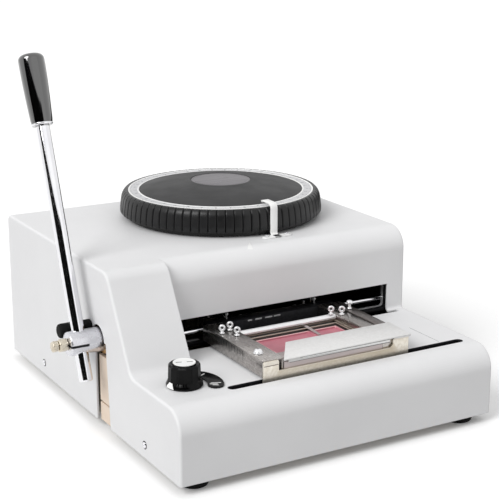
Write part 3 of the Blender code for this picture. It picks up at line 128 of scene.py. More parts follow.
@dataclass(frozen=True)
class Finish:
    """A material by what it is and how its surface was made.

    The far colour, the roughness spread and the relief make the unevenness of the surface.
    """

    name: str
    colour: str
    far_colour: str
    roughness: float
    metallic: float = 0.0
    rough_spread: float = 0.06
    mottle_mm: float = 40.0
    grit_mm: float = 1.2
    relief_mm: float = 0.02
    grain: Grain = Grain.EVEN
    edge_mm: float = 0.3
    edge_colour: str | None = None
    coat: float = 0.0
    coat_ior: float = 1.5
    specular: float = 0.5
    fade_mm: tuple[float, float] | None = None
    fade_colour: str = "000000"

    def material(self) -> bpy.types.Material:
        """Build the node material, once.

        Returns:
            The material, shared by every piece of this finish.
        """
        found = bpy.data.materials.get(self.name)
        if found:
            return found
        made = bpy.data.materials.new(self.name)
        made.use_nodes = True
        tree = made.node_tree
        shader = tree.nodes["Principled BSDF"]
        for name, value in (("Metallic", self.metallic), ("Coat Weight", self.coat),
                            ("Coat Roughness", 0.06), ("Coat IOR", self.coat_ior),
                            ("Specular IOR Level", self.specular)):
            shader.inputs[name].default_value = value
        place = add(tree, "ShaderNodeTexCoord").outputs["Object"]
        lie = add(tree, "ShaderNodeMapping",
                  {"Vector": place, "Scale": self.grain.value}).outputs[0]
        for name, socket in (("Base Color", self.tint(tree, lie, place)),
                             ("Roughness", self.gloss(tree, lie)),
                             ("Normal", self.relief(tree, lie))):
            tree.links.new(socket, shader.inputs[name])
        return made

    def tint(self, tree: Tree, lie: Socket, place: Socket) -> Socket:
        """Vary the colour over the surface, paint shade to the rear and lighten its sharp
        edges.

        Args:
            tree: node tree of the material.
            lie: coordinates stretched along the grain.
            place: plain coordinates in metres.

        Returns:
            The colour socket.
        """
        patch = add(tree, "ShaderNodeTexNoise", {"Vector": lie, "Detail": 4.0,
                    "Scale": 1 / (self.mottle_mm * MM), "Roughness": 0.6})
        blend = add(tree, "ShaderNodeValToRGB", {0: patch.outputs[0]})
        for end, spot, code in zip(blend.color_ramp.elements, (0.3, 0.75),
                                   (self.colour, self.far_colour)):
            end.position, end.color = spot, linear(code)
        tone = blend.outputs[0]
        # Darker towards the rear, where a fade is given: painted shade.
        if self.fade_mm:
            rear = add(tree, "ShaderNodeSeparateXYZ", {0: place})
            deep = add(tree, "ShaderNodeMapRange", {0: rear.outputs[1],
                       1: self.fade_mm[0] * MM, 2: self.fade_mm[1] * MM})
            tone = add(tree, "ShaderNodeMix", {0: deep.outputs[0], 6: tone,
                       7: linear(self.fade_colour)}, data_type="RGBA").outputs[2]
        if self.edge_colour is None:
            return tone
        # Lighter sharp edges: wear on most finishes, a painted highlight on the nickel plate.
        wear = add(tree, "ShaderNodeNewGeometry").outputs["Pointiness"]
        band = add(tree, "ShaderNodeMapRange", {0: wear, 1: 0.52, 2: 0.6})
        speck = add(tree, "ShaderNodeTexNoise", {"Vector": place, "Scale": 1 / (3 * MM)})
        worn = add(tree, "ShaderNodeMath", {0: band.outputs[0], 1: speck.outputs[0]},
                   operation="MULTIPLY")
        return add(tree, "ShaderNodeMix", {0: worn.outputs[0], 6: tone,
                   7: linear(self.edge_colour)}, data_type="RGBA").outputs[2]

    def gloss(self, tree: Tree, lie: Socket) -> Socket:
        """Vary the roughness, as handling and the process leave it.

        Args:
            tree: node tree of the material.
            lie: coordinates stretched along the grain.

        Returns:
            The roughness socket.
        """
        haze = add(tree, "ShaderNodeTexNoise", {"Vector": lie, "Detail": 3.0,
                   "Scale": 1 / (self.mottle_mm * 0.4 * MM)})
        low, high = self.roughness - self.rough_spread / 2, self.roughness + self.rough_spread
        return add(tree, "ShaderNodeMapRange", {0: haze.outputs[0], 1: 0.3, 2: 0.7,
                   3: max(low, 0.02), 4: high}).outputs[0]

    def relief(self, tree: Tree, lie: Socket) -> Socket:
        """Raise the grit of the surface and round its edges for the light.

        Args:
            tree: node tree of the material.
            lie: coordinates stretched along the grain.

        Returns:
            The normal socket.
        """
        edge = add(tree, "ShaderNodeBevel", {0: self.edge_mm * MM}, samples=4)
        grit = add(tree, "ShaderNodeTexNoise", {"Vector": lie, "Detail": 2.0,
                   "Scale": 1 / (self.grit_mm * MM)})
        return add(tree, "ShaderNodeBump", {"Height": grit.outputs[0], "Strength": 1.0,
                   "Distance": self.relief_mm * MM, "Normal": edge.outputs[0]}).outputs[0]


# Polyester powder coat over steel: an even, pale satin skin with a fine orange peel,
# drawn at 2.4 mm because the real 0.5 mm peel is too fine to show.
POWDER = Finish("powder_coated_steel", "E4E4E5", "DDDDDE", 0.5, grit_mm=2.4,
                relief_mm=0.012, mottle_mm=140, edge_mm=0.8, specular=0.3)
# Shade in a joint of two sheets or under a fold: a flat soft grey line.
SEAM = Finish("shaded_seam", "5A5A5B", "525254", 0.7)
# Cream enamel brushed on castings: warm and satin, with slow waves from the brush.
CREAM = Finish("brushed_cream_enamel", "D8CFBE", "CFC3AE", 0.42, grit_mm=5,
               relief_mm=0.05, mottle_mm=60)
# A lighter, warmer copy of the castings' cream for the lever slot's pads: painted light.
LIT_CREAM = Finish("lit_cream_enamel", "E8D6C4", "DECAB6", 0.45, mottle_mm=30)
# Nickel over pressed steel: warm pale metal with a soft lengthwise rolling grain.
# Its lighter sharp edges are painted highlights.
NICKEL = Finish("rolled_nickel_plate", "D3C9B6", "BDB09A", 0.34, 0.75, grit_mm=0.8,
                relief_mm=0.01, grain=Grain.ALONG_X, mottle_mm=30, edge_colour="FFFBF2")
# The same plate, paler: a painted highlight on the window's edge, and the ears' top bands.
PALE_NICKEL = Finish("pale_nickel_plate", "EDE7DC", "DFD7C9", 0.3, 0.4, mottle_mm=14)
# Hard chrome, polished: a mirror with hardly any haze.
CHROME = Finish("polished_chrome", "F0F0F2", "E6E6EA", 0.06, 1.0, rough_spread=0.04,
                relief_mm=0.001, mottle_mm=18)
# Beaded chrome on the hub: the same metal after glass beading, so it glows evenly.
SATIN_CHROME = Finish("beaded_chrome", "DCDCE0", "CDCDD2", 0.26, 1.0, grit_mm=0.9,
                      relief_mm=0.006, mottle_mm=30, edge_colour="FFFFFF")
# Surface-ground steel: long fine scratches along the bar and a brown cast from oil.
STEEL = Finish("ground_steel", "A09A96", "857E79", 0.22, 1.0, grit_mm=0.7,
               relief_mm=0.015, grain=Grain.ALONG_Y, mottle_mm=9, edge_colour="E9E6E2")
# The left bar: the same steel, darkened nearly black towards the throat as painted shade.
REAR_SHADED_STEEL = Finish("rear_shaded_steel", "8F8885", "7A7370", 0.25, 1.0, grit_mm=0.7,
                      relief_mm=0.008, grain=Grain.ALONG_Y, mottle_mm=14,
                      edge_colour="EFECE8", fade_mm=(-150, -62), fade_colour="0E0D0D")
# Blued steel: nearly black brown, satin, scratched bright along its edges.
DARK_STEEL = Finish("blued_steel", "6B6361", "57504E", 0.26, 1.0, grit_mm=0.8,
                    relief_mm=0.015, grain=Grain.ALONG_Y, mottle_mm=12,
                    edge_colour="B9B2AE")
# Black oxide inside the throat: swallows light but for its filed edges; also painted shade.
BLACK_OXIDE_AND_SHADE = Finish("black_oxide_and_painted_shade", "050506", "08080A", 0.5, 0.3, grit_mm=1.5,
                     mottle_mm=25, specular=0.2, edge_colour="3A3A3E")
# Bright steel of pins polished by handling and of screws; along dark edges, a painted
# highlight.
BRIGHT_STEEL_AND_HIGHLIGHT = Finish("bright_steel_and_highlight", "F4F4F5", "E6E6E8", 0.2, 0.6, mottle_mm=6)
# Brown lacquered steel of the tray: dark, with a satin skin.
BROWN_STEEL = Finish("brown_lacquered_steel", "3A2E2A", "2A2220", 0.3, 0.5, grit_mm=0.8,
                     mottle_mm=12, edge_colour="8C7C72")
# Paler metal on those ridges, with a soft sheen along them.
PALE_RIDGE = Finish("pale_ridge", "C9BCAE", "A89A8C", 0.3, 0.7, mottle_mm=8,
                      grain=Grain.ALONG_X)
# Polished sheet steel of apron and clip, soft grey; its pink tint is a painted reflection.
PINK_TINTED_STEEL = Finish("pink_tinted_sheet_steel", "C4B9B8", "A89C9B", 0.3, 0.6, grit_mm=0.8,
                     mottle_mm=14, grain=Grain.ALONG_X)
# Cast bronze bearings: dull gold, turned.
BRONZE = Finish("turned_bronze", "A67E46", "8C6737", 0.32, 1.0, grit_mm=0.7,
                grain=Grain.ALONG_X, mottle_mm=14)
# Nickel-plated brass nut and bolt: pale straw metal with darker rubbed faces.
PLATED_BRASS = Finish("plated_brass", "DDD5C4", "B9AD98", 0.26, 1.0, grit_mm=0.9,
                      mottle_mm=5, edge_colour="FBF8F0")
# Phenolic moulding of the dial's wheel: charcoal with a fine moulded grain.
PHENOLIC = Finish("moulded_phenolic", "0E0E0F", "151516", 0.36, grit_mm=0.9,
                  relief_mm=0.012, mottle_mm=35, specular=0.35)
# The dial's face: the same moulding with a coarser spark-eroded grain, so it looks greyer.
GRAINED_FACE = Finish("grained_phenolic", "262627", "2D2D2E", 0.5, grit_mm=1.3,
                      relief_mm=0.03, mottle_mm=60, specular=0.3)
# Cast acrylic grip: glossy black that mirrors the lights in long streaks.
ACRYLIC = Finish("cast_acrylic", "020202", "040405", 0.06, rough_spread=0.03,
                 relief_mm=0.001, coat=1.0, coat_ior=2.0)
# The knob's moulding, rubbed glossy, so each flat catches one soft streak.
GLOSS_PHENOLIC = Finish("polished_phenolic", "020202", "040405", 0.2, rough_spread=0.04,
                        relief_mm=0.002, mottle_mm=12, specular=0.14)
# Moulded rubber of the feet and the stop: matt, grey where it is handled.
RUBBER = Finish("moulded_rubber", "080808", "111112", 0.7, grit_mm=1.6, relief_mm=0.05,
                mottle_mm=12, specular=0.15)
# Silver lacquer of the dial ring's band: pale, nearly white, with a soft metal glint.
LACQUER = Finish("silver_lacquer", "C9C9CB", "BEBEC0", 0.32, 0.1, grit_mm=0.8,
                 relief_mm=0.006, mottle_mm=20)
# Stoved white enamel on the ring's lips, cap, pointer and marks: clean and satin.
WHITE = Finish("stoved_white_enamel", "F4F4F3", "EDEDEC", 0.36, relief_mm=0.008)
# Enamel of the clamp plate: a cooler grey white with faint handling marks.
PLATE_WHITE = Finish("rubbed_white_enamel", "D3D2D1", "CECDCB", 0.34, grit_mm=3,
                     relief_mm=0.003, mottle_mm=30, edge_colour="F2F2F2")
# Flat dark grey: printing ink on the dial and scale, painted shade on the knob's cap.
INK_AND_SHADE = Finish("dark_ink_and_shade", "3A3A3C", "454547", 0.6)
# The dial's print, worn paler by fingers.
PALE_INK = Finish("worn_ink", "6E6E72", "808084", 0.6)
# Anodised badge: dark violet grey, brushed across.
BADGE = Finish("anodised_badge", "575358", "656166", 0.3, 0.7, grit_mm=0.6,
               relief_mm=0.006, grain=Grain.ALONG_X, mottle_mm=8, edge_colour="9A969A")
# Moulded polypropylene of the tray's insert: pinkish red, waxy, paler at its edges.
PINK = Finish("moulded_polypropylene", "BE7480", "AD6573", 0.36, grit_mm=2,
              relief_mm=0.02, mottle_mm=16, edge_colour="F3C3C5")
# The same plastic on a rim that tags have rubbed pale.
PINK_RIM = Finish("worn_polypropylene", "EFC0C1", "E5AEB0", 0.3, mottle_mm=8)
# Spring steel, blued by tempering.
SPRING = Finish("tempered_spring_steel", "5C5A60", "6E6A6E", 0.3, 1.0, mottle_mm=6)


# Shapes, in millimetres

@dataclass(frozen=True)
class Extent:
    """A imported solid's box, in millimetres."""

    low: Vector
    high: Vector

    @property
    def middle(self) -> Vector:
        """The box's middle."""
        return (self.low + self.high) / 2

    @property
    def size(self) -> Vector:
        """The box's length along each axis."""
        return self.high - self.low


def box(node: str) -> Extent:
    """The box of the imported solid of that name."""
    low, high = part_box(node)
    return Extent(low / MM, high / MM)


def at(x: float, y: float, z: float) -> Vector:
    """The point that far to the right, back and up from the cover's lower front left."""
    return box("cover").low + Vector((x, y, z))


def spin(degrees: float) -> Matrix:
    """A turn about the upright axis."""
    return Matrix.Rotation(math.radians(degrees), 4, "Z")


def arc(middle: tuple[float, float], radius: float, start: float, end: float,
        steps: int = 8) -> Line:
    """Points on an arc.

    Args:
        middle: its centre.
        radius: its radius.
        start: first angle in degrees.
        end: last angle in degrees.
        steps: number of chords.

    Returns:
        The points, both ends included.
    """
    angles = [math.radians(start + (end - start) * k / steps) for k in range(steps + 1)]
    return [(middle[0] + radius * math.cos(a), middle[1] + radius * math.sin(a))
            for a in angles]


def eased(points: Line, radius: float, steps: int = 3) -> Line:
    """Round the inner corners of an open profile.

    Args:
        points: the profile.
        radius: how far along each side the rounding starts.
        steps: chords in each rounding.

    Returns:
        The rounded profile.
    """
    made = [points[0]]
    for before, corner, after in zip(points, points[1:], points[2:]):
        here = Vector(corner)
        back, on = Vector(before) - here, Vector(after) - here
        reach = min(radius, back.length * 0.45, on.length * 0.45)
        start, end = here + back.normalized() * reach, here + on.normalized() * reach
        made += [tuple(start * (1 - t) ** 2 + here * 2 * t * (1 - t) + end * t ** 2)
                 for t in (k / steps for k in range(steps + 1))]
    return made + [points[-1]]


def banded(shape: Shape, rings: list[list[bmesh.types.BMVert]], closed: bool) -> None:
    """Join rings of vertices by faces.

    Args:
        shape: the shape that holds them, changed in place.
        rings: the rings; one of a single vertex closes an end to a point.
        closed: whether the last ring joins the first.
    """
    sides = max(map(len, rings))
    for low, high in zip(rings, rings[1:] + rings[:1] if closed else rings[1:]):
        for k in range(sides):
            n = (k + 1) % sides
            corners = [*dict.fromkeys((low[k % len(low)], low[n % len(low)],
                                       high[n % len(high)], high[k % len(high)]))]
            if len(corners) > 2:
                shape.faces.new(corners)


def turned(profile: Line, steps: int, turn: Matrix,
           cut: Callable[[int, float, float], float] | None = None) -> Shape:
    """Turn a profile about an axis.

    Args:
        profile: (radius, height) points; a radius of 0 closes an end.
        steps: number of sides.
        turn: matrix that lays the axis, +Z, in place.
        cut: gives the radius for a profile point's index, an angle and the radius there.

    Returns:
        The turned shape.
    """
    shape = bmesh.new()
    rings = []
    for index, (radius, height) in enumerate(profile):
        ring = []
        for k in range(steps if radius > 0 else 1):
            angle = math.tau * k / steps
            reach = cut(index, angle, radius) if cut and radius > 0 else radius
            ring.append(shape.verts.new((reach * math.cos(angle), reach * math.sin(angle),
                                         height)))
        rings.append(ring)
    banded(shape, rings, len(rings[0]) > 1 and len(rings[-1]) > 1)
    bmesh.ops.transform(shape, matrix=turn, verts=shape.verts)
    return shape


def peg(radius: float, length: float, sides: int, turn: Matrix) -> Shape:
    """A plain round or many-sided rod.

    Args:
        radius: its radius.
        length: its length.
        sides: number of sides.
        turn: matrix that lays its axis, +Z, in place.

    Returns:
        The rod.
    """
    return turned([(0, 0), (radius, 0), (radius, length), (0, length)], sides, turn)


def along(start: Vector, end: Vector) -> Matrix:
    """The matrix that moves the origin to a start and points +Z at an end."""
    way = (end - start).normalized()
    lay = Vector((0, 0, 1)).rotation_difference(way)
    return Matrix.Translation(start) @ lay.to_matrix().to_4x4()


def stood(x: float, y: float, z: float = 0.0) -> Matrix:
    """The matrix that stands a turned shape upright on a point."""
    return Matrix.Translation((x, y, z))


def slab(outline: list[Vector], thick: Vector) -> Shape:
    """A plate with square edges: a flat outline given a thickness.

    Args:
        outline: corner points in order.
        thick: direction and length of the thickness.

    Returns:
        The plate.
    """
    shape = bmesh.new()
    near, far = ([shape.verts.new(point + thick * k) for point in outline] for k in (0, 1))
    shape.faces.new(near)
    shape.faces.new(far[::-1])
    banded(shape, [near, far], False)
    return shape


def block(low: Spot, high: Spot, turn: Matrix = Matrix()) -> Shape:
    """A block between two corners.

    Args:
        low: its lowest corner.
        high: its highest corner.
        turn: its place, or its turn about the upright axis.

    Returns:
        The block.
    """
    outline = [turn @ Vector((x, y, low[2])) for x, y in
               ((low[0], low[1]), (high[0], low[1]), (high[0], high[1]), (low[0], high[1]))]
    return slab(outline, Vector((0, 0, high[2] - low[2])))


def sheet(rows: list[list[Vector]], thick: float) -> Shape:
    """A thin bent plate through rows of points.

    Args:
        rows: rows with the same number of points.
        thick: its thickness; a negative one goes to the other side.

    Returns:
        The closed plate.
    """
    shape = bmesh.new()
    made = [[shape.verts.new(point) for point in row] for row in rows]
    for near, far in zip(made, made[1:]):
        for k in range(len(near) - 1):
            shape.faces.new((near[k], near[k + 1], far[k + 1], far[k]))
    shape.normal_update()
    bmesh.ops.solidify(shape, geom=shape.faces[:], thickness=thick)
    return shape


def ease(shape: Shape, width: float, angle: float = 35, segments: int = 3) -> None:
    """Round every sharp edge of a shape.

    Args:
        shape: the shape, changed in place.
        width: width of the rounding.
        angle: edges that turn by more degrees than this are rounded.
        segments: strips in each rounding.
    """
    sharp = [e for e in shape.edges
             if len(e.link_faces) == 2 and e.calc_face_angle() > math.radians(angle)]
    bmesh.ops.bevel(shape, geom=sharp, offset=width, segments=segments, profile=0.5,
                    affect="EDGES", clamp_overlap=True)


def join(shapes: list[Shape]) -> Shape:
    """Put several shapes, which are freed, into one, which is returned."""
    whole = bmesh.new()
    for shape in shapes:
        mesh = meshed("joined", shape)
        whole.from_mesh(mesh)
        bpy.data.meshes.remove(mesh)
    return whole


def meshed(name: str, shape: Shape) -> bpy.types.Mesh:
    """Turn a shape, which is freed, into a mesh, which is returned."""
    mesh = bpy.data.meshes.new(name)
    shape.to_mesh(mesh)
    shape.free()
    return mesh


def carved(shape: Shape, *cutters: Shape) -> Shape:
    """Cut shapes out of a shape.

    Args:
        shape: the shape to cut.
        cutters: closed shapes to take away.

    Returns:
        What is left.
    """
    holders = []
    for part in (shape, *cutters):
        bmesh.ops.recalc_face_normals(part, faces=part.faces)
        holder = bpy.data.objects.new("carving", meshed("carving", part))
        bpy.context.collection.objects.link(holder)
        if holders:
            step = holders[0].modifiers.new("cut", "BOOLEAN")
            step.operation, step.object = "DIFFERENCE", holder
        holders.append(holder)
    bpy.context.view_layer.update()
    graph = bpy.context.evaluated_depsgraph_get()
    made = bmesh.new()
    made.from_mesh(bpy.data.meshes.new_from_object(holders[0].evaluated_get(graph)))
    for holder in holders:
        bpy.data.objects.remove(holder)
    return made


def tube(points: list[Vector], radius: float, sides: int, closed: bool = False) -> Shape:
    """A round wire along a row of points.

    Args:
        points: the points.
        radius: the wire's radius.
        sides: sides of its section.
        closed: whether the wire joins up with its own start.

    Returns:
        The wire, with flat ends unless it is closed.
    """
    shape = bmesh.new()
    rings = []
    count = len(points)
    for k, point in enumerate(points):
        before = points[k - 1] if k or closed else point
        after = points[(k + 1) % count] if k + 1 < count or closed else point
        way = (after - before).normalized()
        side = (side - way * side.dot(way) if rings else way.orthogonal()).normalized()
        up = way.cross(side)
        turns = [math.tau * n / sides for n in range(sides)]
        rings.append([shape.verts.new(
            point + radius * (side * math.cos(a) + up * math.sin(a))) for a in turns])
    banded(shape, rings, closed)
    if not closed:
        shape.faces.new(rings[0][::-1])
        shape.faces.new(rings[-1])
    return shape


@dataclass
class SubAssembly:
    """A sub-assembly of the machine, with the body that its pieces ride on."""

    nodes: dict[str, bpy.types.Object]
    body: str = "root"

    def piece(self, name: str, shape: Shape, finish: Finish, slot: str, node: str = "",
              body: str = "", smooth: float = 35, unit: float = MM) -> None:
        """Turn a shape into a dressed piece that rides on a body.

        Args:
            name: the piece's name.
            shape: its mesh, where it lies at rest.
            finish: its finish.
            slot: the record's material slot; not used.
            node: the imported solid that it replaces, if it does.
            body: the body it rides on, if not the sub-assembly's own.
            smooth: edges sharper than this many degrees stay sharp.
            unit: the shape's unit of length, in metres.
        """
        bmesh.ops.recalc_face_normals(shape, faces=shape.faces)
        bmesh.ops.scale(shape, vec=(unit,) * 3, verts=shape.verts)
        mesh = meshed(name, shape)
        mesh.materials.append(finish.material())
        mesh.shade_smooth()
        mesh.set_sharp_from_angle(angle=math.radians(smooth))
        made = bpy.data.objects.new(name, mesh)
        bpy.context.collection.objects.link(made)
        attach(made, body or self.body)
        if node:
            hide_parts(node)
        log.info("built %s", name)

    def dress(self, finish: Finish, *nodes: str) -> None:
        """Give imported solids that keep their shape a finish.

        Args:
            finish: the finish.
            nodes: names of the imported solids.
        """
        for node in nodes:
            self.nodes[node].data.materials.clear()
            self.nodes[node].data.materials.append(finish.material())
            log.info("dressed %s", node)

    def softened(self, node: str, finish: Finish, slot: str, width: float,
                 body: str = "", angle: float = 35) -> None:
        """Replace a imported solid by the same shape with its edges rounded.

        Args:
            node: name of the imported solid.
            finish: its finish.
            slot: the record's material slot.
            width: width of the rounding.
            body: the body it rides on, if not the sub-assembly's own.
            angle: edges that turn by more degrees than this are rounded.
        """
        shape = bmesh.new()
        shape.from_mesh(self.nodes[node].data)
        bmesh.ops.remove_doubles(shape, verts=shape.verts, dist=0.002 * MM)
        bmesh.ops.dissolve_limit(shape, angle_limit=math.radians(1.5), verts=shape.verts,
                                 edges=shape.edges)
        ease(shape, width * MM, angle, 2)
        self.piece(f"fine_{node}", shape, finish, slot, node, body, unit=1)


# Sub-assemblies

@dataclass
class Dial(SubAssembly):
    """The type dial: ribbed wheel, lacquered ring, domed face and bare badge."""

    body: str = "dial"
    ribs: int = 76
    rib_depth: float = 1.5
    rib_foot: float = 5
    tuck: float = 6.7
    widest: float = 11
    rim_inset: float = 6
    ring_width: float = 12.5
    ring_lip: float = 1.7
    band_sunk: float = 0.35
    characters: int = 40
    digit_height: float = 5.2

    def build(self) -> None:
        """Build every piece of the dial and dress what lies below it."""
        self.wheel()
        self.ring()
        self.marks()
        self.face()
        self.badge()
        self.dress(STEEL, "dial_shaft")
        for name, way in (("lower_die_disc", 1), ("upper_die_disc", -1)):
            self.dies(name, way)

    def lie(self, degrees: float = 0.0) -> Matrix:
        """The matrix that puts a shape on the dial's axis and turns it, heights from 0."""
        middle = box("dial_shaft").middle
        return stood(middle.x, middle.y) @ spin(degrees)

    def wheel(self) -> None:
        """The phenolic wheel, whose flat ribs run from its foot to the ring's edge."""
        wheel, edge = box("dial_wheel"), box("dial_ring").size.x / 2 + 0.3
        low, high, radius = wheel.low.z, wheel.high.z, wheel.size.x / 2
        foot, wide, ribs = radius - self.tuck, low + self.widest, low + self.rib_foot
        side = [(foot - 3, low), (foot, low + 0.8), (foot, ribs), (radius - 0.9, ribs + 0.3),
                (radius, ribs + 1.5), (radius, wide)]
        side += [(radius - self.rim_inset * (0.4 * t + 0.6 * t ** 6),
                  wide + (high - wide) * t) for t in (k / 12 for k in range(1, 13))]
        seat, web, hub = high - 2.2, low + 12, foot - 6
        rim = [(edge, high), (edge, seat), (edge - 20, seat), (edge - 20, web), (hub, web),
               (hub, low)]
        ribbed = range(3, len(side))

        def cut(index: int, angle: float, reach: float) -> float:
            """Draw the narrow grooves between the ribs into the profile."""
            if index not in ribbed:
                return reach
            wave = abs(math.cos(self.ribs * angle / 2))
            groove = max(0.0, 1 - wave / 0.26) ** 0.7
            return reach - self.rib_depth * (groove * 0.9 + 0.1 * (1 - wave) ** 3)

        shape = turned(side + rim, self.ribs * 18, self.lie(), cut)
        self.piece("ribbed_dial_wheel", shape, PHENOLIC, "matte_black", "dial_wheel",
                   smooth=50)

    def ring(self) -> None:
        """The flat ring: a silver band between two white lips."""
        ring, lip = box("dial_ring"), self.ring_lip
        low, high, outer = ring.low.z, ring.high.z, ring.size.x / 2
        inner, band = outer - self.ring_width, high - self.band_sunk
        profile = [(inner, low), (outer, low), (outer, high), (outer - lip, high),
                   (outer - lip - 0.3, band - 0.3), (inner + lip + 0.3, band - 0.3),
                   (inner + lip, high), (inner, high), (inner, low)]
        shape = turned(eased(profile, 0.3)[:-1], 240, self.lie())
        self.piece("lipped_dial_ring", shape, WHITE, "silver_white", "dial_ring")
        near, far = inner + lip + 0.1, outer - lip - 0.1
        strip = [(near, band - 0.35), (far, band - 0.35), (far, band), (near, band)]
        self.piece("lacquered_dial_band", turned(strip, 240, self.lie()), LACQUER,
                   "silver_white")

    def marks(self) -> None:
        """Plain dashes and the numbers 0 to 9, four times over, printed on the ring."""
        ring = box("dial_ring")
        outer, band = ring.size.x / 2 - self.ring_lip, ring.high.z - self.band_sunk
        shapes = []
        for k in range(self.characters * 2):
            turn = self.lie(180 * k / self.characters)
            shapes.append(block((outer - (2.4 if k % 2 else 1.6), -0.28, band),
                                (outer - 0.6, 0.28, band + 0.06), turn=turn))
            if k % 2:
                shapes.append(self.number(str(k // 2 % 10), turn, outer - 5.6, band))
        self.piece("dial_print", join(shapes), PALE_INK, "silver_white")

    def number(self, text: str, turn: Matrix, radius: float, height: float) -> Shape:
        """One printed number, read from outside the dial.

        Args:
            text: the digits.
            turn: matrix of its place round the dial.
            radius: distance of its middle from the axis.
            height: height of the surface that it is printed on.

        Returns:
            Its thin shape.
        """
        curve = bpy.data.curves.new("digit", "FONT")
        curve.body, curve.size, curve.extrude = text, self.digit_height, 0.03
        curve.align_x = curve.align_y = "CENTER"
        curve.resolution_u = 3
        holder = bpy.data.objects.new("digit", curve)
        mesh = bpy.data.meshes.new_from_object(holder)
        shape = bmesh.new()
        shape.from_mesh(mesh)
        for store, made in ((bpy.data.objects, holder), (bpy.data.curves, curve),
                            (bpy.data.meshes, mesh)):
            store.remove(made)
        lie = stood(radius, 0, height + 0.03) @ spin(90)
        bmesh.ops.transform(shape, matrix=turn @ lie, verts=shape.verts)
        return shape

    def face(self) -> None:
        """The domed face, with a rounded rim and a raised bezel round the badge."""
        face, edge = box("dial_face"), box("dial_ring").high.z
        rim, low, top = face.size.x / 2, face.low.z, face.high.z
        seat = box("dial_badge").size.x / 2 + 0.3
        rise = (top - edge) / (1 - (seat / rim) ** 2)
        dome = [(rim * s, edge + rise * (1 - s ** 2) - 0.2)
                for s in (1.0, 0.97, 0.93, 0.88, 0.8, 0.72, 0.64, 0.56, 0.48, 0.42)]
        bezel = eased([dome[-1], (seat + 1.8, top), (seat, top), (seat, top - 1.6),
                       (0, top - 1.6)], 0.5)
        profile = [(0, low), (rim, low)] + eased(dome, 1) + bezel[1:]
        self.piece("domed_dial_face", turned(profile, 180, self.lie()), GRAINED_FACE,
                   "matte_black", "dial_face")

    def badge(self) -> None:
        """The round badge, left bare, with a fine turned border."""
        badge = box("dial_badge")
        low, high, radius = badge.low.z, badge.high.z, badge.size.x / 2
        groove = radius - 2.4
        profile = [(0, low), (radius, low), (radius, high), (groove + 0.5, high),
                   (groove, high - 0.3), (groove - 0.5, high), (0, high)]
        self.piece("bare_dial_badge", turned(eased(profile, 0.25), 120, self.lie()), BADGE,
                   "badge_grey", "dial_badge")

    def dies(self, name: str, way: int) -> None:
        """A disc of dies, with a bright punch standing out of each slot.

        Args:
            name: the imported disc.
            way: 1 where the punches stand up, -1 where they hang.
        """
        disc = box(name)
        low, high, radius = disc.low.z, disc.high.z, disc.size.x / 2
        bore, hub, rim = 8.3, 22, radius - 9
        under, over = (disc.middle.z + k * disc.size.z * 0.18 for k in (-1, 1))

        def cut(index: int, angle: float, reach: float) -> float:
            """Cut the slots that the dies sit in."""
            slot = abs(math.cos(self.characters * angle / 2)) < 0.3
            return reach - 2.4 if slot and index in (6, 7) else reach

        profile = [(bore, low), (hub, low), (hub, under), (rim, under), (rim, low),
                   (radius - 1, low), (radius, low + 1), (radius, high - 1),
                   (radius - 1, high), (rim, high), (rim, over), (hub, over), (hub, high),
                   (bore, high)]
        shape = turned(profile, self.characters * 8, self.lie(), cut)
        self.piece(f"slotted_{name}", shape, STEEL, "steel", name)
        tip = eased([(0, 0), (1.9, 0), (1.7, 2.2), (1.1, 2.6), (0, 2.6)], 0.3, 2)
        punches = []
        for k in range(self.characters):
            start = self.lie(360 * k / self.characters) @ Vector(
                (radius - 5, 0, high if way > 0 else low))
            punches.append(turned(tip, 10, along(start, start + Vector((0, 0, way * 2.6)))))
        self.piece(f"punches_of_{name}", join(punches), CHROME, "steel")


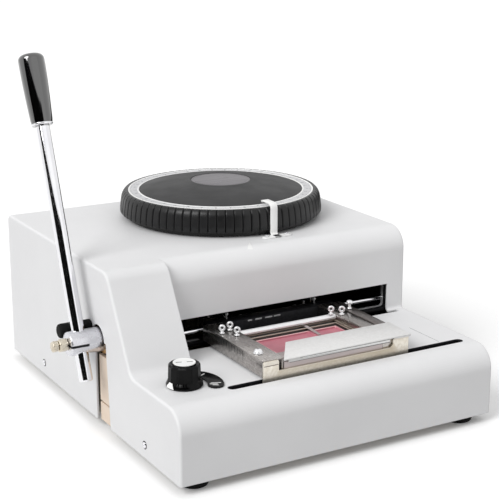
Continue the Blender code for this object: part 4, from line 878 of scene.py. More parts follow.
@dataclass
class Lever(SubAssembly):
    """The pull lever: clamp hub, chrome rod, acrylic grip and what stops it."""

    body: str = "lever"
    lean: float = math.radians(20.7)
    below: float = 40
    grip_start: float = 223
    grip_length: float = 74
    rod_in_grip: float = 60
    slit: float = 2.6
    slit_length: float = 19

    def build(self) -> None:
        """Build the lever's pieces and its seat in the frame."""
        self.hub()
        self.lock()
        self.rod()
        self.grip()
        self.bumper()
        self.spring()
        self.dress(STEEL, "lever_shaft", "bumper_stud")
        self.softened("press_cam", STEEL, "steel", 0.6)
        self.softened("lever_bushing", BRONZE, "bronze", 0.5, "root")

    def axis(self, x: float, y: float = 0.0, z: float = 0.0) -> Vector:
        """The point of the hub's axis at x, moved by y and z."""
        return Vector((x, box("lever_hub").middle.y + y, box("lever_hub").middle.z + z))

    def point(self, reach: float) -> Vector:
        """The point of the rod's axis that far above the hub's axis."""
        return self.axis(box("lever_rod").middle.x, reach * math.sin(self.lean),
                         reach * math.cos(self.lean))

    def hub(self) -> None:
        """The beaded chrome hub: rounded ends, the clamp slit and the rod's hole."""
        hub, rod = box("lever_hub"), box("lever_rod").size.x / 2 + 0.3
        low, high, radius, half = hub.low.x, hub.high.x, hub.size.z / 2, self.slit / 2
        profile = eased([(0, 0), (radius, 0), (radius, high - low), (0, high - low)], 2, 5)
        shape = carved(
            turned(profile, 96, along(self.axis(low), self.axis(high))),
            peg(rod, 80, 48, along(self.point(-40), self.point(40))),
            block(self.axis(low - 4, -2 * radius, -half),
                  self.axis(low + self.slit_length, 0, half)),
            peg(3.3, 16, 24, along(self.axis(low - 4), self.axis(low))),
            peg(8.3, 40, 48, along(self.axis(box("lever_shaft").low.x - 0.3),
                                   self.axis(high))))
        self.piece("beaded_lever_hub", shape, SATIN_CHROME, "chrome", "lever_hub")
        # A black block in the clamp slit: painted shade.
        slit_shade = block(self.axis(low + 0.4, 1.2 - radius, 0.1 - half),
                     self.axis(low + self.slit_length - 0.2, -4, half - 0.1))
        self.piece("slit_painted_shade", slit_shade, BLACK_OXIDE_AND_SHADE, "matte_black")

    def lock(self) -> None:
        """The hexagon nut on the hub's end and the bolt through it, both chamfered."""
        nut, bolt, shank = box("hub_lock_nut"), box("hub_lock_bolt"), 3
        for node, start, end, hole in (("hub_lock_nut", nut.low.x, nut.high.x, shank + 0.2),
                                       ("hub_lock_bolt", bolt.low.x, nut.low.x - 0.3, 0)):
            radius, length = box(node).size.z / 2, end - start
            profile = [(hole, 0), (radius * 0.86, 0), (radius, 1.1), (radius, length - 1.1),
                       (radius * 0.86, length), (hole, length)]
            shape = turned(eased(profile, 0.6, 2), 6, along(self.axis(start), self.axis(end)))
            ease(shape, 0.35, 40, 2)
            if not hole:
                stem = along(self.axis(end - 0.2), self.axis(bolt.high.x))
                shape = join([shape, peg(shank, bolt.high.x - end, 24, stem)])
            self.piece(f"chamfered_{node}", shape, PLATED_BRASS, "bronze", node)

    def rod(self) -> None:
        """The polished rod, with a turned chamfer at its foot."""
        radius = box("lever_rod").size.x / 2
        length = self.below + self.grip_start + self.rod_in_grip
        profile = eased([(0, 0), (radius - 1.2, 0), (radius, 1.2), (radius, length),
                         (0, length)], 0.5)
        shape = turned(profile, 96, along(self.point(-self.below), self.point(length)))
        self.piece("polished_lever_rod", shape, CHROME, "chrome", "lever_rod")

    def grip(self) -> None:
        """The swelling acrylic grip, and the bright ferrule rolled over its mouth."""
        foot, top, mouth, crown = 11, 13.5, 7.3, 6
        straight = self.grip_length - crown
        profile = [(0, 2), (mouth, 2), (mouth, 0), (foot - 0.6, 0)]
        profile += [(foot + (top - foot) * math.sin(t * math.pi / 2), t * straight)
                    for t in (k / 12 for k in range(1, 13))]
        profile += arc((top - crown, straight), crown, 10, 90, 10) + [(0, self.grip_length)]
        lie = along(self.point(self.grip_start), self.point(self.grip_start + 1))
        self.piece("acrylic_lever_grip", turned(profile, 96, lie), ACRYLIC, "gloss_black",
                   "lever_grip")
        lip = [(mouth, 0.1), (foot - 0.3, 0.1), (foot + 0.1, 0.9), (foot + 0.1, 2.2),
               (foot - 0.5, 2.4), (mouth, 2.4)]
        self.piece("grip_ferrule", turned(eased(lip, 0.3), 96, lie), CHROME, "chrome")

    def bumper(self) -> None:
        """The rubber stop: a sleeve with a rounded cap and two moulded rings."""
        stop, hole = box("stop_bumper"), 3.3
        radius, length = stop.size.z / 2, stop.size.x
        profile = [(0, 0), (radius - 1.6, 0), (radius - 0.4, 1.2), (radius, 3)]
        for spot in (length * 0.55, length * 0.75):
            profile += [(radius, spot), (radius - 0.7, spot + 0.8), (radius, spot + 1.6)]
        profile += [(radius, length), (hole, length), (hole, 4), (0, 4)]
        start = Vector((stop.low.x, stop.middle.y, stop.middle.z))
        shape = turned(eased(profile, 0.6), 64, along(start, start + Vector((1, 0, 0))))
        self.piece("ringed_stop_bumper", shape, RUBBER, "rubber", "stop_bumper", "root")

    def spring(self) -> None:
        """The torsion spring coiled round the shaft inside the frame."""
        coil, wire, turns, steps = box("return_spring"), 1.1, 4, 28
        reach, count = coil.size.z / 2 - wire, turns * steps
        points = [self.axis(coil.low.x + wire + (coil.size.x - 2 * wire) * k / count,
                            reach * math.cos(math.tau * k / steps),
                            reach * math.sin(math.tau * k / steps))
                  for k in range(count + 1)]
        self.piece("coiled_return_spring", tube(points, wire, 12), SPRING, "steel",
                   "return_spring", "root")


@dataclass
class Knob(SubAssembly):
    """The pressure knob on the deck, its pale cap and the scale plate beside it."""

    body: str = "knob"
    flats: int = 14
    tall: float = 22.4
    mark_thick: float = 0.08

    def build(self) -> None:
        """Build the knob, cap, marks of painted shade and highlight, and scale."""
        self.grip()
        self.cap()
        self.skirt_highlight()
        self.scale()

    def lie(self, degrees: float = 0.0) -> Matrix:
        """The matrix that puts a shape on the knob's axis and turns it, heights from 0."""
        middle = box("knob_cap").middle
        return stood(middle.x, middle.y) @ spin(degrees)

    def grip(self) -> None:
        """The many-sided body, flared at its foot, on its stem."""
        knob = box("pressure_knob")
        low, top, skirt = knob.low.z, knob.high.z, knob.size.x / 2
        deck, side = top - self.tall, skirt - 1.8
        profile = [(0, low), (3, low), (3, deck), (skirt - 0.6, deck), (skirt, deck + 0.7),
                   (skirt, deck + 2.4), (skirt - 0.7, deck + 4), (side, deck + 6.4),
                   (side, deck + 9), (side - 0.4, top - 1.8), (side - 1.6, top - 0.2),
                   (side - 2.4, top), (side - 3.4, top - 0.5), (0, top - 0.5)]
        pitch = math.tau / self.flats

        def cut(index: int, angle: float, reach: float) -> float:
            """Flatten the sides of the body."""
            if index not in range(7, 11):
                return reach
            aside = (angle + pitch / 2) % pitch - pitch / 2
            notch = max(0.0, 1 - abs(abs(aside) - pitch / 2) / (pitch * 0.1))
            return reach * math.cos(pitch / 2) / math.cos(aside) - 0.5 * notch

        shape = turned(profile, self.flats * 20, self.lie(), cut)
        self.piece("faceted_pressure_knob", shape, GLOSS_PHENOLIC, "matte_black",
                   "pressure_knob", smooth=30)

    def cap(self) -> None:
        """The lacquered cap, with a grey line in two lengths across it: painted shade."""
        cap = box("knob_cap")
        low, high, radius = cap.low.z, cap.high.z, cap.size.x / 2
        profile = [(0, low), (radius, low), (radius, high), (radius - 1, high),
                   (radius - 1.6, high - 0.2), (0, high - 0.2)]
        self.piece("lacquered_knob_cap", turned(eased(profile, 0.3), 96, self.lie()), WHITE,
                   "silver_white", "knob_cap")
        # Painted shade: the grey sides of the cap's streaked reflection.
        shade_dashes = [block((start, -0.55, high - 0.2),
                       (end, 0.55, high - 0.2 + self.mark_thick), turn=self.lie(-20))
                 for start, end in ((-8.2, -2.4), (2.4, 8.2))]
        self.piece("knob_cap_painted_shade", join(shade_dashes), INK_AND_SHADE, "silver_white")

    def skirt_highlight(self) -> None:
        """A white wedge on the skirt, at the front left: a painted highlight."""
        knob = box("pressure_knob")
        skirt, deck = knob.size.x / 2, knob.high.z - self.tall
        rows = [[self.lie() @ Vector((*spot, deck + height)) for spot in
                 arc((0, 0), skirt + out, 190 - half, 190 + half)]
                for out, height, half in ((0.08, 0.9, 18), (0.08, 2.5, 16), (-0.7, 4.1, 12),
                                          (-1.6, 6.2, 8))]
        self.piece("knob_skirt_glint", sheet(rows, 0.14), WHITE, "white_paint")

    def scale(self) -> None:
        """The curved scale plate and its printed strokes near both ends."""
        self.softened("scale_plate", GLOSS_PHENOLIC, "matte_black", 0.35, "root", 30)
        top = box("scale_plate").high.z
        strokes = [block((near, -width / 2, top), (far, width / 2, top + self.mark_thick),
                         turn=self.lie(angle))
                   for angle, near, far, width in ((27, 24, 33, 1.5), (33, 27, 31, 1.2),
                                                   (-24, 25, 35, 1.4), (-30, 24, 32, 1.6),
                                                   (-35, 27, 33, 1.3))]
        self.piece("scale_strokes", join(strokes), WHITE, "white_paint", body="root")


@dataclass
class Casing(SubAssembly):
    """The folded cover, its marks and screws, and the casting and frames inside.

    The face is where the cover's tall front stands, and the fold its radius above it.
    """

    screw_slot: float = 0.9
    deck: float = 72.3
    face: float = 158
    fold: float = 24
    pointer_thick: float = 1.5
    pointer_half: float = 4.25
    pointer_reach: float = 24

    def build(self) -> None:
        """Dress the cover and build what shows on it and below it."""
        self.dress(POWDER, "cover")
        self.index()
        seam = block(at(326.1, 42, self.deck + 0.03), at(326.5, 94, self.deck + 0.08))
        self.piece("deck_seam", seam, SEAM, "powder_coat")
        self.slot_shade()
        self.slot_pads()
        for side, way in (("left", 1), ("right", -1)):
            for end in ("front", "rear"):
                self.side_screw(f"cover_screw_{side}_{end}", way)
        for place in ("front_left", "front_right", "rear_left", "rear_right"):
            self.foot(f"foot_{place}")
        self.pointer()
        # The right frame and the top bridge, cream-painted parts, are dressed black: painted
        # shade inside the cover.
        for node, finish, slot, width, body in (
                ("base_casting", CREAM, "cream_casting", 1.2, "root"),
                ("left_side_frame", CREAM, "cream_paint", 1.2, "root"),
                ("right_side_frame", BLACK_OXIDE_AND_SHADE, "cream_paint", 1.2, "root"),
                ("top_bridge", BLACK_OXIDE_AND_SHADE, "cream_paint", 1.2, "root"),
                ("dial_bearing", BRONZE, "bronze", 0.6, "root"),
                ("guide_post", STEEL, "steel", 0.5, "root"),
                ("anvil_block", STEEL, "steel", 0.8, "root"),
                ("press_beam", BLACK_OXIDE_AND_SHADE, "steel", 0.8, "press")):
            self.softened(node, finish, slot, width, body)

    def index(self) -> None:
        """The white index triangle painted on the cover's upper fold before the dial."""
        tip, left, right = (Vector(p) for p in ((182, 191), (169.5, 172.5), (175.3, 171.2)))
        axis = box("cover").size.z - self.fold
        rows = []
        for k in range(9):
            start, end = left.lerp(tip, k / 8.4), right.lerp(tip, k / 8.4)
            rows.append([])
            for spot in (start.lerp(end, n / 2) for n in range(3)):
                run = max(0.0, self.face + self.fold - spot.y)
                rows[-1].append(at(*spot, axis + math.sqrt(self.fold ** 2 - run ** 2) + 0.12))
        self.piece("index_mark", sheet(rows, 0.14), WHITE, "white_paint")

    def side_screw(self, node: str, way: int) -> None:
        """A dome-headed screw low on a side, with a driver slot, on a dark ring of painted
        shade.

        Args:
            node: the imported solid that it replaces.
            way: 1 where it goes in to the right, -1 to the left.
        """
        screw, half = box(node), self.screw_slot / 2
        middle, radius, length = screw.middle, screw.size.z / 2, screw.size.x
        face = Vector((screw.low.x if way > 0 else screw.high.x, middle.y, middle.z))
        lie = along(face, face + Vector((way, 0, 0)))
        head = turned([(0, 0), (radius * 0.5, 0.12), (radius * 0.85, 0.5), (radius, 1.1),
                       (radius, 1.2), (1.6, 1.2), (1.6, length), (0, length)], 40, lie)
        reach = Vector((0.6, radius * 1.4, half))
        shape = carved(head, block(face - reach, face + reach))
        self.piece(f"slotted_{node}", shape, CHROME, "chrome", node)
        # A dark ring behind the head: painted shade round it.
        edge = radius + 0.9
        ring = [(2, 1.21), (edge, 1.21), (edge, 1.41), (2, 1.41)]
        self.piece(f"shade_ring_of_{node}", turned(ring, 40, lie), RUBBER, "rubber")

    def foot(self, node: str) -> None:
        """A rubber foot, with a rounded sole and a moulded waist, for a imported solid."""
        foot = box(node)
        radius, height = foot.size.x / 2, foot.size.z
        profile = [(0, 0), (radius - 2.4, 0), (radius - 1, 1.2), (radius, height * 0.45),
                   (radius - 0.8, height * 0.62), (radius, height * 0.8), (radius, height),
                   (0, height)]
        lie = stood(foot.middle.x, foot.middle.y, foot.low.z)
        self.piece(f"moulded_{node}", turned(eased(profile, 0.8), 64, lie), RUBBER, "rubber",
                   node)

    def pointer(self) -> None:
        """The bent pointer strip with its flange, and the two screws in the flange."""
        bounds, thick = box("dial_pointer"), self.pointer_thick
        low, high, middle = bounds.low, bounds.high, bounds.middle.x
        wall, bend, crest = high.y - self.pointer_reach, thick * 1.6, high.z - 7
        path = [(low.y, low.z + thick), (wall - bend, low.z + thick)]
        path += arc((wall - bend, low.z + thick + bend), bend, -90, 0, 5)[1:]
        path += arc((wall + 6, crest), 6, 180, 92, 9)
        path += [(high.y - 4.2, high.z - 0.7), (high.y - 2, high.z - 1.6),
                 (high.y - thick, high.z - 3.6)]
        widths = [self.pointer_half] * (len(path) - 1) + [self.pointer_half * 0.8]
        strip = sheet([[Vector((middle + way * width, *spot)) for way in (-1, 1)]
                       for spot, width in zip(path, widths)], thick)
        bmesh.ops.recalc_face_normals(strip, faces=strip.faces)
        lift = high.z - max(v.co.z for v in strip.verts)
        bmesh.ops.translate(strip, verts=strip.verts, vec=(0, 0, min(lift, 0)))
        ease(strip, 0.35, 40, 2)
        ends, depth = 3.9, low.y + 3.9
        flange = [Vector((*spot, low.z)) for spot in
                  arc((high.x - ends, depth), ends, -90, 90)
                  + arc((low.x + ends, depth), ends, 90, 270)]
        plate = slab(flange, Vector((0, 0, thick)))
        self.piece("bent_dial_pointer", join([strip, plate]), WHITE, "white_paint",
                   "dial_pointer")
        for node in ("pointer_screw_left", "pointer_screw_right"):
            self.headed_screw(node)

    def headed_screw(self, node: str) -> None:
        """A small cheese-head screw with a driver slot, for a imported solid."""
        screw, half = box(node), 0.35
        middle, radius, height = screw.middle, screw.size.x / 2, screw.size.z
        head = turned(eased([(0, 0), (radius, 0), (radius, height), (0, height)], 0.35), 32,
                      stood(middle.x, middle.y, screw.low.z))
        slot = block((middle.x - radius * 2, middle.y - half, screw.high.z - 0.6),
                     (middle.x + radius * 2, middle.y + half, screw.high.z + 1.4))
        self.piece(f"slotted_{node}", carved(head, slot), CHROME, "chrome", node)

    def slot_shade(self) -> None:
        """Painted shade: a black channel below the deck slot, and a black liner on its walls.
        """
        deck, left, right, front, back = self.deck, 69.5, 351, 30, 40
        section = ((front - 1.5, deck - 2.2), (front - 1.5, deck - 17),
                   (back + 1.5, deck - 17), (back + 1.5, deck - 2.2))
        channel = sheet([[at(x, y, z) for y, z in section]
                         for x in (left - 2.5, right + 2.5)], 0.4)
        half, shape, rings = (back - front) / 2, bmesh.new(), []
        for inset, z in ((0.05, deck - 1.9), (0.05, deck - 0.15), (0.45, deck - 0.15),
                         (0.45, deck - 1.9)):
            line = (arc((right - half, front + half), half - inset, -90, 90, 10)
                    + arc((left + half, front + half), half - inset, 90, 270, 10))
            rings.append([shape.verts.new(at(*spot, z)) for spot in line])
        banded(shape, rings, True)
        self.piece("deck_slot_painted_shade", join([channel, shape]), BLACK_OXIDE_AND_SHADE, "matte_black")

    def slot_pads(self) -> None:
        """The two lighter cream blocks low in the lever slot, on a black plate of painted
        shade.
        """
        pads = [block(at(2.6, 158, low), at(6.8, 186, high))
                for low, high in ((22.2, 72), (0.6, 20.2))]
        self.piece("lever_slot_pads", join(pads), LIT_CREAM, "cream_paint")
        # Painted shade: a black plate behind the pads, seen between and round them.
        self.piece("lever_slot_painted_shade", block(at(6.9, 156, 0.6), at(7.8, 192, 73)),
                   BLACK_OXIDE_AND_SHADE, "cream_paint")


@dataclass
class Carriage(SubAssembly):
    """The sliding carriage: bars, plates, screws, clamp plate and the tag tray."""

    body: str = "carriage"
    tick_pitch: float = 5.6
    tick_width: float = 0.8
    ring_wire: float = 1.15
    ring_reach: float = 2.45
    rim: float = 2.6
    apron_top: float = 87.4

    def build(self) -> None:
        """Build the carriage and what it carries."""
        # The left bar darkens towards the rear: painted shade.
        self.softened("carriage_left_bar", REAR_SHADED_STEEL, "steel", 0.8)
        self.softened("carriage_inner_bar", STEEL, "steel", 0.7)
        self.softened("carriage_outer_bar", DARK_STEEL, "black_steel", 0.8)
        self.softened("carriage_slide", BLACK_OXIDE_AND_SHADE, "black_steel", 0.8)
        self.back_rail()
        self.front_plate()
        self.apron()
        self.ticks()
        for place in ("left_a", "left_b", "left_c", "right_a", "right_b"):
            self.ring_screw(f"thumb_screw_{place}")
        self.capped_screw("thumb_screw_right_c")
        self.dome_screw()
        self.clamp()
        self.tray()

    def back_rail(self) -> None:
        """The bright cross rail, whose front face is rolled back."""
        rail = box("carriage_back_rail")
        low, high = rail.low, rail.high
        side = [(low.y, low.z), (low.y, low.z + 0.9),
                *arc((low.y + 3.2, low.z + 1), 3.2, 178, 96), (high.y, high.z),
                (high.y, low.z)]
        shape = slab([Vector((low.x, *spot)) for spot in side],
                     Vector((rail.size.x, 0, 0)))
        self.piece("rolled_back_rail", shape, BRIGHT_STEEL_AND_HIGHLIGHT, "chrome", "carriage_back_rail")

    def front_plate(self) -> None:
        """The plate through the deck slot: two ears, a window, and paler strips on its top
        edges.
        """
        plate = box("carriage_front_plate")
        low, high, y = plate.low, plate.high, plate.low.y
        ear, right, band, top = low.x + 17.2, high.x - 19, low.z + 22.2, high.z
        right_top = box("clamp_plate").high.z - 5.6
        outline = [(low.x, low.z), (high.x, low.z), (high.x, right_top), (right, right_top),
                   (right, band + 3.4), (right - 3.4, band), (ear + 1, band),
                   *arc((ear + 1, band + 1), 1, -100, -180, 4), (ear, top - 1),
                   (ear - 1, top), (low.x + 1.4, top), (low.x, top - 1.4)]
        shape = slab([Vector((x, y, z)) for x, z in outline],
                     Vector((0, plate.size.y, 0)))
        self.piece("windowed_front_plate", shape, NICKEL, "cream_paint",
                   "carriage_front_plate")
        # Paler strips: a painted highlight along the window's top edge, and bands on both
        # ears' tops.
        edges = [block((start, y - 0.12, z), (end, y, z + tall)) for start, end, z, tall in
                 ((ear + 1.6, right - 4, band - 0.75, 0.7),
                  (right + 0.8, high.x - 1, right_top - 0.75, 3.2),
                  (low.x + 0.6, ear - 1.2, top - 3.9, 3.2))]
        self.piece("plate_edge_highlight_and_ear_bands", join(edges), PALE_NICKEL, "cream_paint")
        score = block((low.x + 0.6, y - 0.1, top - 4.8), (ear - 0.6, y, top - 4.1))
        self.piece("ear_score", score, BROWN_STEEL, "cream_paint")

    def apron(self) -> None:
        """The sheet between the tray and the front plate, bent down behind the window."""
        left = box("carriage_left_bar").high.x + 0.3
        right = box("carriage_inner_bar").low.x - 0.4
        front = box("carriage_front_plate").high.y + 0.3
        top = at(0, 0, self.apron_top).z
        side = [(front + 0.4, top - 8.4), (front + 0.4, top - 1.4),
                *arc((front + 1.6, top - 1.4), 1.2, 180, 90, 4), (front + 23, top - 0.2)]
        rows = [[Vector((x, *spot)) for spot in side] for x in (left, right)]
        self.piece("bent_apron", sheet(rows, 0.8), PINK_TINTED_STEEL, "steel")
        lip = slab([Vector((left + x, front + y, top + 0.5)) for x, y in
                    ((0.2, 0), (9, 0), (9, 1.6), (0.2, 2.6))], Vector((0, 0, 0.7)))
        self.piece("apron_lip", lip, BRIGHT_STEEL_AND_HIGHLIGHT, "steel")

    def ticks(self) -> None:
        """Graduations engraved and blackened on the left bar's outer face."""
        low, high = box("carriage_left_bar").low, box("carriage_left_bar").high
        marks = []
        for k in range(10):
            y, deep = low.y + 38 + self.tick_pitch * k, 8.5 if k % 5 else 11.5
            marks.append(block((low.x - 0.06, y, high.z - deep),
                               (low.x - 0.02, y + self.tick_width, high.z - 1.6)))
        self.piece("bar_graduations", join(marks), INK_AND_SHADE, "steel")

    def ring_screw(self, node: str) -> None:
        """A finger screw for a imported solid: a stepped collar with a bright ring on top."""
        screw, wire, reach = box(node), self.ring_wire, self.ring_reach
        neck = screw.size.z - 2 * (reach + wire) + 0.6
        collar = turned(eased([(0, 0), (2.8, 0), (2.8, 1), (1.5, 1.5), (1.3, neck),
                               (0, neck)], 0.3), 32,
                        stood(screw.middle.x, screw.middle.y, screw.low.z))
        heart = Vector((screw.middle.x, screw.middle.y, screw.high.z - reach - wire))
        across, up = Vector((0.87, -0.5, 0)), Vector((0, 0, 1))
        loop = [heart + reach * (across * math.cos(a) + up * math.sin(a))
                for a in (math.tau * k / 28 for k in range(28))]
        self.piece(f"ring_headed_{node}", join([collar, tube(loop, wire, 12, True)]),
                   BRIGHT_STEEL_AND_HIGHLIGHT, "chrome", node)

    def capped_screw(self, node: str) -> None:
        """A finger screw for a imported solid, with a rounded cap."""
        screw = box(node)
        tall, cap = screw.size.z, screw.size.z - 3.6
        profile = eased([(0, 0), (2.4, 0), (2.4, 1.2), (1.5, 1.8), (1.5, cap), (3, cap),
                         (3.6, cap + 1), (3.4, tall - 1), (2, tall), (0, tall)], 0.5)
        shape = turned(profile, 32, stood(screw.middle.x, screw.middle.y, screw.low.z))
        self.piece(f"capped_{node}", shape, BRIGHT_STEEL_AND_HIGHLIGHT, "chrome", node)

    def dome_screw(self) -> None:
        """The domed bright screw, on a thin washer, with a dark hexagon socket."""
        screw, rest, reach = box("dome_screw"), 0.9, 1.5
        middle, radius, rise = screw.middle, screw.size.x / 2, screw.size.z - 0.9
        dome = [(0, 0), (radius, 0), (radius, 0.7), (radius * 0.9, rest)]
        dome += [(radius * 0.9 * math.cos(a), rest + rise * math.sin(a))
                 for a in (math.radians(d) for d in range(10, 90, 10))]
        head = turned(dome + [(0, rest + rise)], 64,
                      stood(middle.x, middle.y, screw.low.z))
        deep = screw.high.z - 1.8
        shape = carved(head, peg(reach, 3, 6, stood(middle.x, middle.y, deep)))
        self.piece("socket_dome_screw", shape, BRIGHT_STEEL_AND_HIGHLIGHT, "chrome", "dome_screw")
        # A black hexagon deep in the socket: painted shade.
        floor = peg(reach * 0.97, 0.9, 6, stood(middle.x, middle.y, deep + 0.05))
        self.piece("dome_screw_socket_shade", floor, BLACK_OXIDE_AND_SHADE, "chrome")

    def clamp(self) -> None:
        """The white plate with its bent lip, and the folded hook at its right end."""
        self.softened("clamp_plate", PLATE_WHITE, "white_paint", 0.35, "clamp", 30)
        low, high = box("clamp_plate").low, box("clamp_plate").high

        def drawn(thick: float, *spots: tuple[float, float]) -> Shape:
            """A thin plate on the lip's face, by its corners from the plate's lower left."""
            return slab([Vector((low.x + x, low.y + 0.28, low.z + z)) for x, z in spots],
                        Vector((0, -thick, 0)))

        # A white strip along the lip's face: a painted highlight.
        band = drawn(0.14, (22, 2.3), (125.8, 0.5), (125.8, 2.9), (22, 2.9))
        self.piece("clamp_lip_shine", band, WHITE, "white_paint", body="clamp")
        # Painted shade: a grey line in the crease at the lip's top, and one along the lip's
        # foot.
        crease = drawn(0.18, (19, 2.95), (125.8, 2.9), (125.8, 3.3), (19, 3.3))
        foot = drawn(0.18, (6.2, 0.05), (125.8, 0.05), (125.8, 0.5), (6.2, 0.4))
        self.piece("clamp_crease_shade", join([crease, foot]), SEAM, "white_paint", body="clamp")
        hook = slab([Vector((high.x - x, low.y + 0.1, low.z + 4.4 + z)) for x, z in
                     ((0.3, 0.3), (20, 0.3), (18, -1.7), (0.3, -2.1))],
                    Vector((0, 0.9, 0)))
        self.piece("clamp_hook", hook, PLATE_WHITE, "white_paint", body="clamp")

    def tray(self) -> None:
        """The stepped tray, its two-pocket insert, divider clip and paler ridges."""
        self.softened("tag_tray", BROWN_STEEL, "black_steel", 0.5, "tray")
        self.insert()
        self.clip()
        tray, inner, wide = box("tag_tray"), box("tray_insert"), 1.9
        left, front, z = inner.low.x - 2, tray.low.y + 8, tray.high.z + 0.05
        ridges = []
        for behind, aside, rise in ((2.8, 1.6, 0.5), (11, 4.8, 1.1)):
            rear, right = inner.high.y + behind, inner.high.x + aside
            side = right + wide * 0.8
            ridges.append(slab([Vector((x, y, z)) for x, y in
                                ((left, rear), (right, rear), (right, front), (side, front),
                                 (side, rear + wide), (left, rear + wide))],
                               Vector((0, 0, rise))))
        self.piece("pale_tray_ridges", join(ridges), PALE_RIDGE, "black_steel",
                   body="tray")

    def insert(self) -> None:
        """The moulded insert: two pockets with raised, rounded rims."""
        insert, clip = box("tray_insert"), box("divider_clip").middle.x
        low, high, rim, bend = insert.low, insert.high, self.rim, 2
        cutters, linings = [], []
        for left, right in ((low.x, clip - 1), (clip + 1, high.x)):
            near, far = left + rim + bend, right - rim - bend
            front, rear = low.y + rim + bend, high.y - rim - bend
            outline = [Vector((*spot, high.z - 1.5)) for middle, turn in
                       (((far, rear), 0), ((near, rear), 90), ((near, front), 180),
                        ((far, front), 270))
                       for spot in arc(middle, bend, turn, turn + 90, 5)]
            cutters.append(slab(outline, Vector((0, 0, 4))))
            linings.append(block((left + rim * 0.3, high.y - rim * 0.9, high.z),
                                 (right - rim * 0.3, high.y - rim * 0.2, high.z + 0.25)))
        shape = carved(block(low, high), *cutters)
        ease(shape, 0.5, 40, 2)
        self.piece("two_pocket_insert", shape, PINK, "pink_plastic", "tray_insert", "tray")
        self.piece("insert_rear_rims", join(linings), PINK_RIM, "pink_plastic", body="tray")

    def clip(self) -> None:
        """The divider clip: a curved spring strip from its rear rivet down to the insert."""
        clip = box("divider_clip")
        middle, rear, top, fall = clip.middle.x, clip.high.y, clip.high.z, clip.size.z - 1.1
        rows = []
        for t in (k / 12 for k in range(13)):
            wide = 1.3 + 0.7 * math.sin(math.pi * t)
            rows.append([Vector((middle + way * wide, rear - clip.size.y * t,
                                 top - 0.5 - fall * t ** 1.6)) for way in (-1, 1)])
        rivet = turned(eased([(0, 0), (1.5, 0), (1.3, 0.7), (0, 0.9)], 0.3), 20,
                       stood(middle, rear - 2, top - 0.9))
        self.piece("sprung_divider_clip", join([sheet(rows, 0.5), rivet]), PINK_TINTED_STEEL,
                   "chrome", "divider_clip", "tray")


@dataclass
class Throat(SubAssembly):
    """What shows in the dark opening under the dial: bracket, painted edge highlights and
    rail.
    """

    wall: float = 4.5
    corner: float = 4

    def build(self) -> None:
        """Build the bracket's edges, the rail and the slide's marks and pins."""
        self.softened("rail_bracket", BLACK_OXIDE_AND_SHADE, "black_steel", 0.6)
        self.softened("guide_rail", CHROME, "chrome", 0.4, angle=60)
        self.bracket_highlight()
        dashes = [block(at(start, 160.2, 87.6), at(end, 160.3, 89.2))
                  for start, end in ((163, 168), (172, 180), (184, 193), (195, 203))]
        self.piece("slide_dashes", join(dashes), BRIGHT_STEEL_AND_HIGHLIGHT, "black_steel", body="carriage")
        for k, x in enumerate((144, 254)):
            spot = at(x, 173, 0)
            profile = [(0, 0), (0.8, 0), (0.8, 3.4), *arc((0, 5.2), 2, -66, 88, 10), (0, 7.2)]
            pin = turned(profile, 24, stood(spot.x, spot.y, box("carriage_slide").high.z))
            self.piece(f"slide_pin_{k + 1}", pin, BRIGHT_STEEL_AND_HIGHLIGHT, "chrome", body="carriage")

    def bracket_highlight(self) -> None:
        """A bright strip down the bracket's inner walls and round its corners: a painted
        highlight.
        """
        low, high = box("rail_bracket").low, box("rail_bracket").high
        shelf = box("carriage_slide").low.z - 0.3
        strips = []
        for side, away, start, end in ((high.x - self.wall, -1, 0, -90),
                                       (low.x + self.wall, 1, 180, 270)):
            path = [(side, high.z - 6),
                    *arc((side + away * self.corner, shelf + self.corner), self.corner, start,
                         end, 6), (side + away * 34, shelf)]
            strips.append(sheet([[Vector((x + away * 0.05, y, z + 0.05)) for x, z in path]
                                 for y in (low.y + 6, low.y + 10)], 0.16))
        self.piece("bracket_edge_painted_highlight", join(strips), BRIGHT_STEEL_AND_HIGHLIGHT, "chrome")


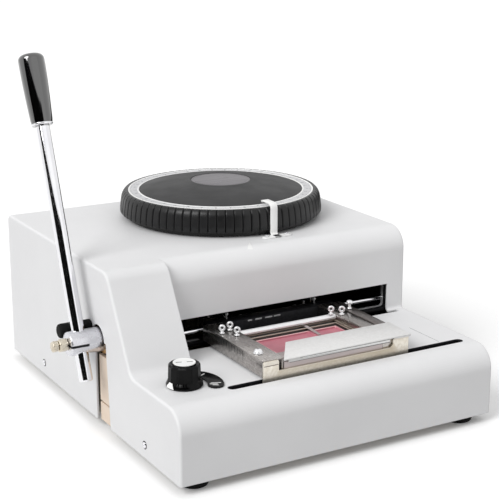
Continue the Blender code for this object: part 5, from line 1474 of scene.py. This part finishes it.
@dataclass
class Studio:
    """The pale floor, the soft lamps, the dark cards that chrome mirrors, the camera.

    Each card has its first and last direction in degrees, its distance and its height.
    """

    azimuth: float = math.radians(-29.82)
    elevation: float = math.radians(15.40)
    eye: Spot = (-0.65205, -1.2097, 0.5410)
    lens: float = 94.63
    sky: float = 0.66
    cards: tuple[tuple[float, ...], ...] = ((-186.0, -86.0, 2000, 1300),
                                            (8.0, 60.0, 1200, 300))

    def build(self) -> None:
        """Set the stage, the light and the camera."""
        bpy.context.scene.view_settings.view_transform = "Standard"
        self.world()
        self.floor()
        self.lamps()
        self.card_stand()
        self.camera()

    def seen(self, tree: Tree, *kinds: str) -> Socket:
        """1 where the light path is one of the named kinds of ray, and 0 elsewhere.

        Args:
            tree: node tree of the material or the world.
            kinds: outputs of the light path.

        Returns:
            The value socket.
        """
        rays = add(tree, "ShaderNodeLightPath").outputs
        level = rays[kinds[0]]
        for kind in kinds[1:]:
            level = add(tree, "ShaderNodeMath", {0: level, 1: rays[kind]},
                        operation="MAXIMUM").outputs[0]
        return level

    def matt(self, name: str, roughness: float) -> tuple[bpy.types.Material, bpy.types.Node]:
        """A matt material and its shader node.

        Args:
            name: the material's name.
            roughness: the shader's roughness.

        Returns:
            The material and the node.
        """
        made = bpy.data.materials.new(name)
        made.use_nodes = True
        shader = made.node_tree.nodes["Principled BSDF"]
        shader.inputs["Roughness"].default_value = roughness
        shader.inputs["Specular IOR Level"].default_value = 0.1
        return made, shader

    def staged(self, name: str, shape: Shape, material: bpy.types.Material
               ) -> bpy.types.Object:
        """Put a shape on the stage.

        Args:
            name: the object's name.
            shape: its mesh.
            material: its material.

        Returns:
            The object.
        """
        bmesh.ops.scale(shape, vec=(MM, MM, MM), verts=shape.verts)
        mesh = meshed(name, shape)
        mesh.materials.append(material)
        made = bpy.data.objects.new(name, mesh)
        bpy.context.collection.objects.link(made)
        return made

    def world(self) -> None:
        """An even pale sky, plain white where the camera, metal or glass looks at it."""
        world = bpy.data.worlds.new("studio")
        bpy.context.scene.world = world
        world.use_nodes = True
        tree = world.node_tree
        seen = self.seen(tree, "Is Camera Ray", "Is Glossy Ray", "Is Transmission Ray")
        level = add(tree, "ShaderNodeMapRange", {0: seen, 3: self.sky, 4: 1.0})
        back = tree.nodes["Background"]
        back.inputs["Color"].default_value = (1, 1, 1, 1)
        tree.links.new(level.outputs[0], back.inputs["Strength"])

    def floor(self) -> None:
        """A pale round floor, a touch brighter to the camera so that it reads white."""
        made, shader = self.matt("matt_studio_floor", 0.9)
        tree = made.node_tree
        seen = self.seen(tree, "Is Camera Ray", "Is Glossy Ray")
        tone = add(tree, "ShaderNodeMix", {0: seen, 6: linear("A6A6A6"),
                   7: linear("FAFAFA")}, data_type="RGBA")
        tree.links.new(tone.outputs[2], shader.inputs["Base Color"])
        lift = add(tree, "ShaderNodeMath", {0: seen, 1: 0.08}, operation="MULTIPLY")
        glow = add(tree, "ShaderNodeEmission", {0: (1, 1, 1, 1), 1: lift.outputs[0]})
        both = add(tree, "ShaderNodeAddShader", {0: shader.outputs[0], 1: glow.outputs[0]})
        tree.links.new(both.outputs[0], tree.nodes["Material Output"].inputs["Surface"])
        shape = bmesh.new()
        bmesh.ops.create_circle(shape, cap_ends=True, radius=6000, segments=96)
        self.staged("floor", shape, made)

    def lamps(self) -> None:
        """One wide soft key from the upper left, and a weak fill from the front."""
        for name, way, strength, spread in (("key", (-0.75, -0.2, 0.63), 1.97, 35),
                                            ("fill", (0.1, -0.9, 0.35), 0.12, 60)):
            lamp = bpy.data.lights.new(name, "SUN")
            lamp.energy, lamp.angle = strength, math.radians(spread)
            stand = bpy.data.objects.new(name, lamp)
            stand.rotation_euler = Vector(way).to_track_quat("Z", "Y").to_euler()
            bpy.context.collection.objects.link(stand)

    def card_stand(self) -> None:
        """Curved matt dark cards round the lever, which only mirrors see, as in a studio."""
        made, shader = self.matt("black_card", 0.95)
        shader.inputs["Base Color"].default_value = linear("0C0C0C")
        middle = box("lever_rod").middle
        for k, (first, last, away, height) in enumerate(self.cards):
            spots = arc((middle.x, middle.y), away, first, last, 24)
            shape = sheet([[Vector((*spot, z)) for spot in spots] for z in (5, height)], 4)
            card = self.staged(f"card_{k + 1}", shape, made)
            card.visible_camera = card.visible_diffuse = card.visible_shadow = False

    def camera(self) -> None:
        """The camera at the photograph's viewing angle."""
        back = Vector((math.sin(self.azimuth) * math.cos(self.elevation),
                       -math.cos(self.azimuth) * math.cos(self.elevation),
                       math.sin(self.elevation)))
        right = Vector((math.cos(self.azimuth), math.sin(self.azimuth), 0))
        turn = Matrix((right, back.cross(right), back)).transposed().to_4x4()
        data = bpy.data.cameras.new("view")
        data.lens, data.clip_end = self.lens, 50
        eye = bpy.data.objects.new("view", data)
        eye.matrix_world = Matrix.Translation(self.eye) @ turn
        bpy.context.collection.objects.link(eye)
        bpy.context.scene.camera = eye


def main() -> None:
    """Light the stage and build every sub-assembly in order."""
    logging.basicConfig(level=logging.INFO, format="%(name)s: %(message)s")
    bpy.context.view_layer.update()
    Studio().build()
    for kind in (Casing, Dial, Lever, Knob, Carriage, Throat):
        kind(frame["nodes"]).build()


if __name__ == "__main__":
    main()
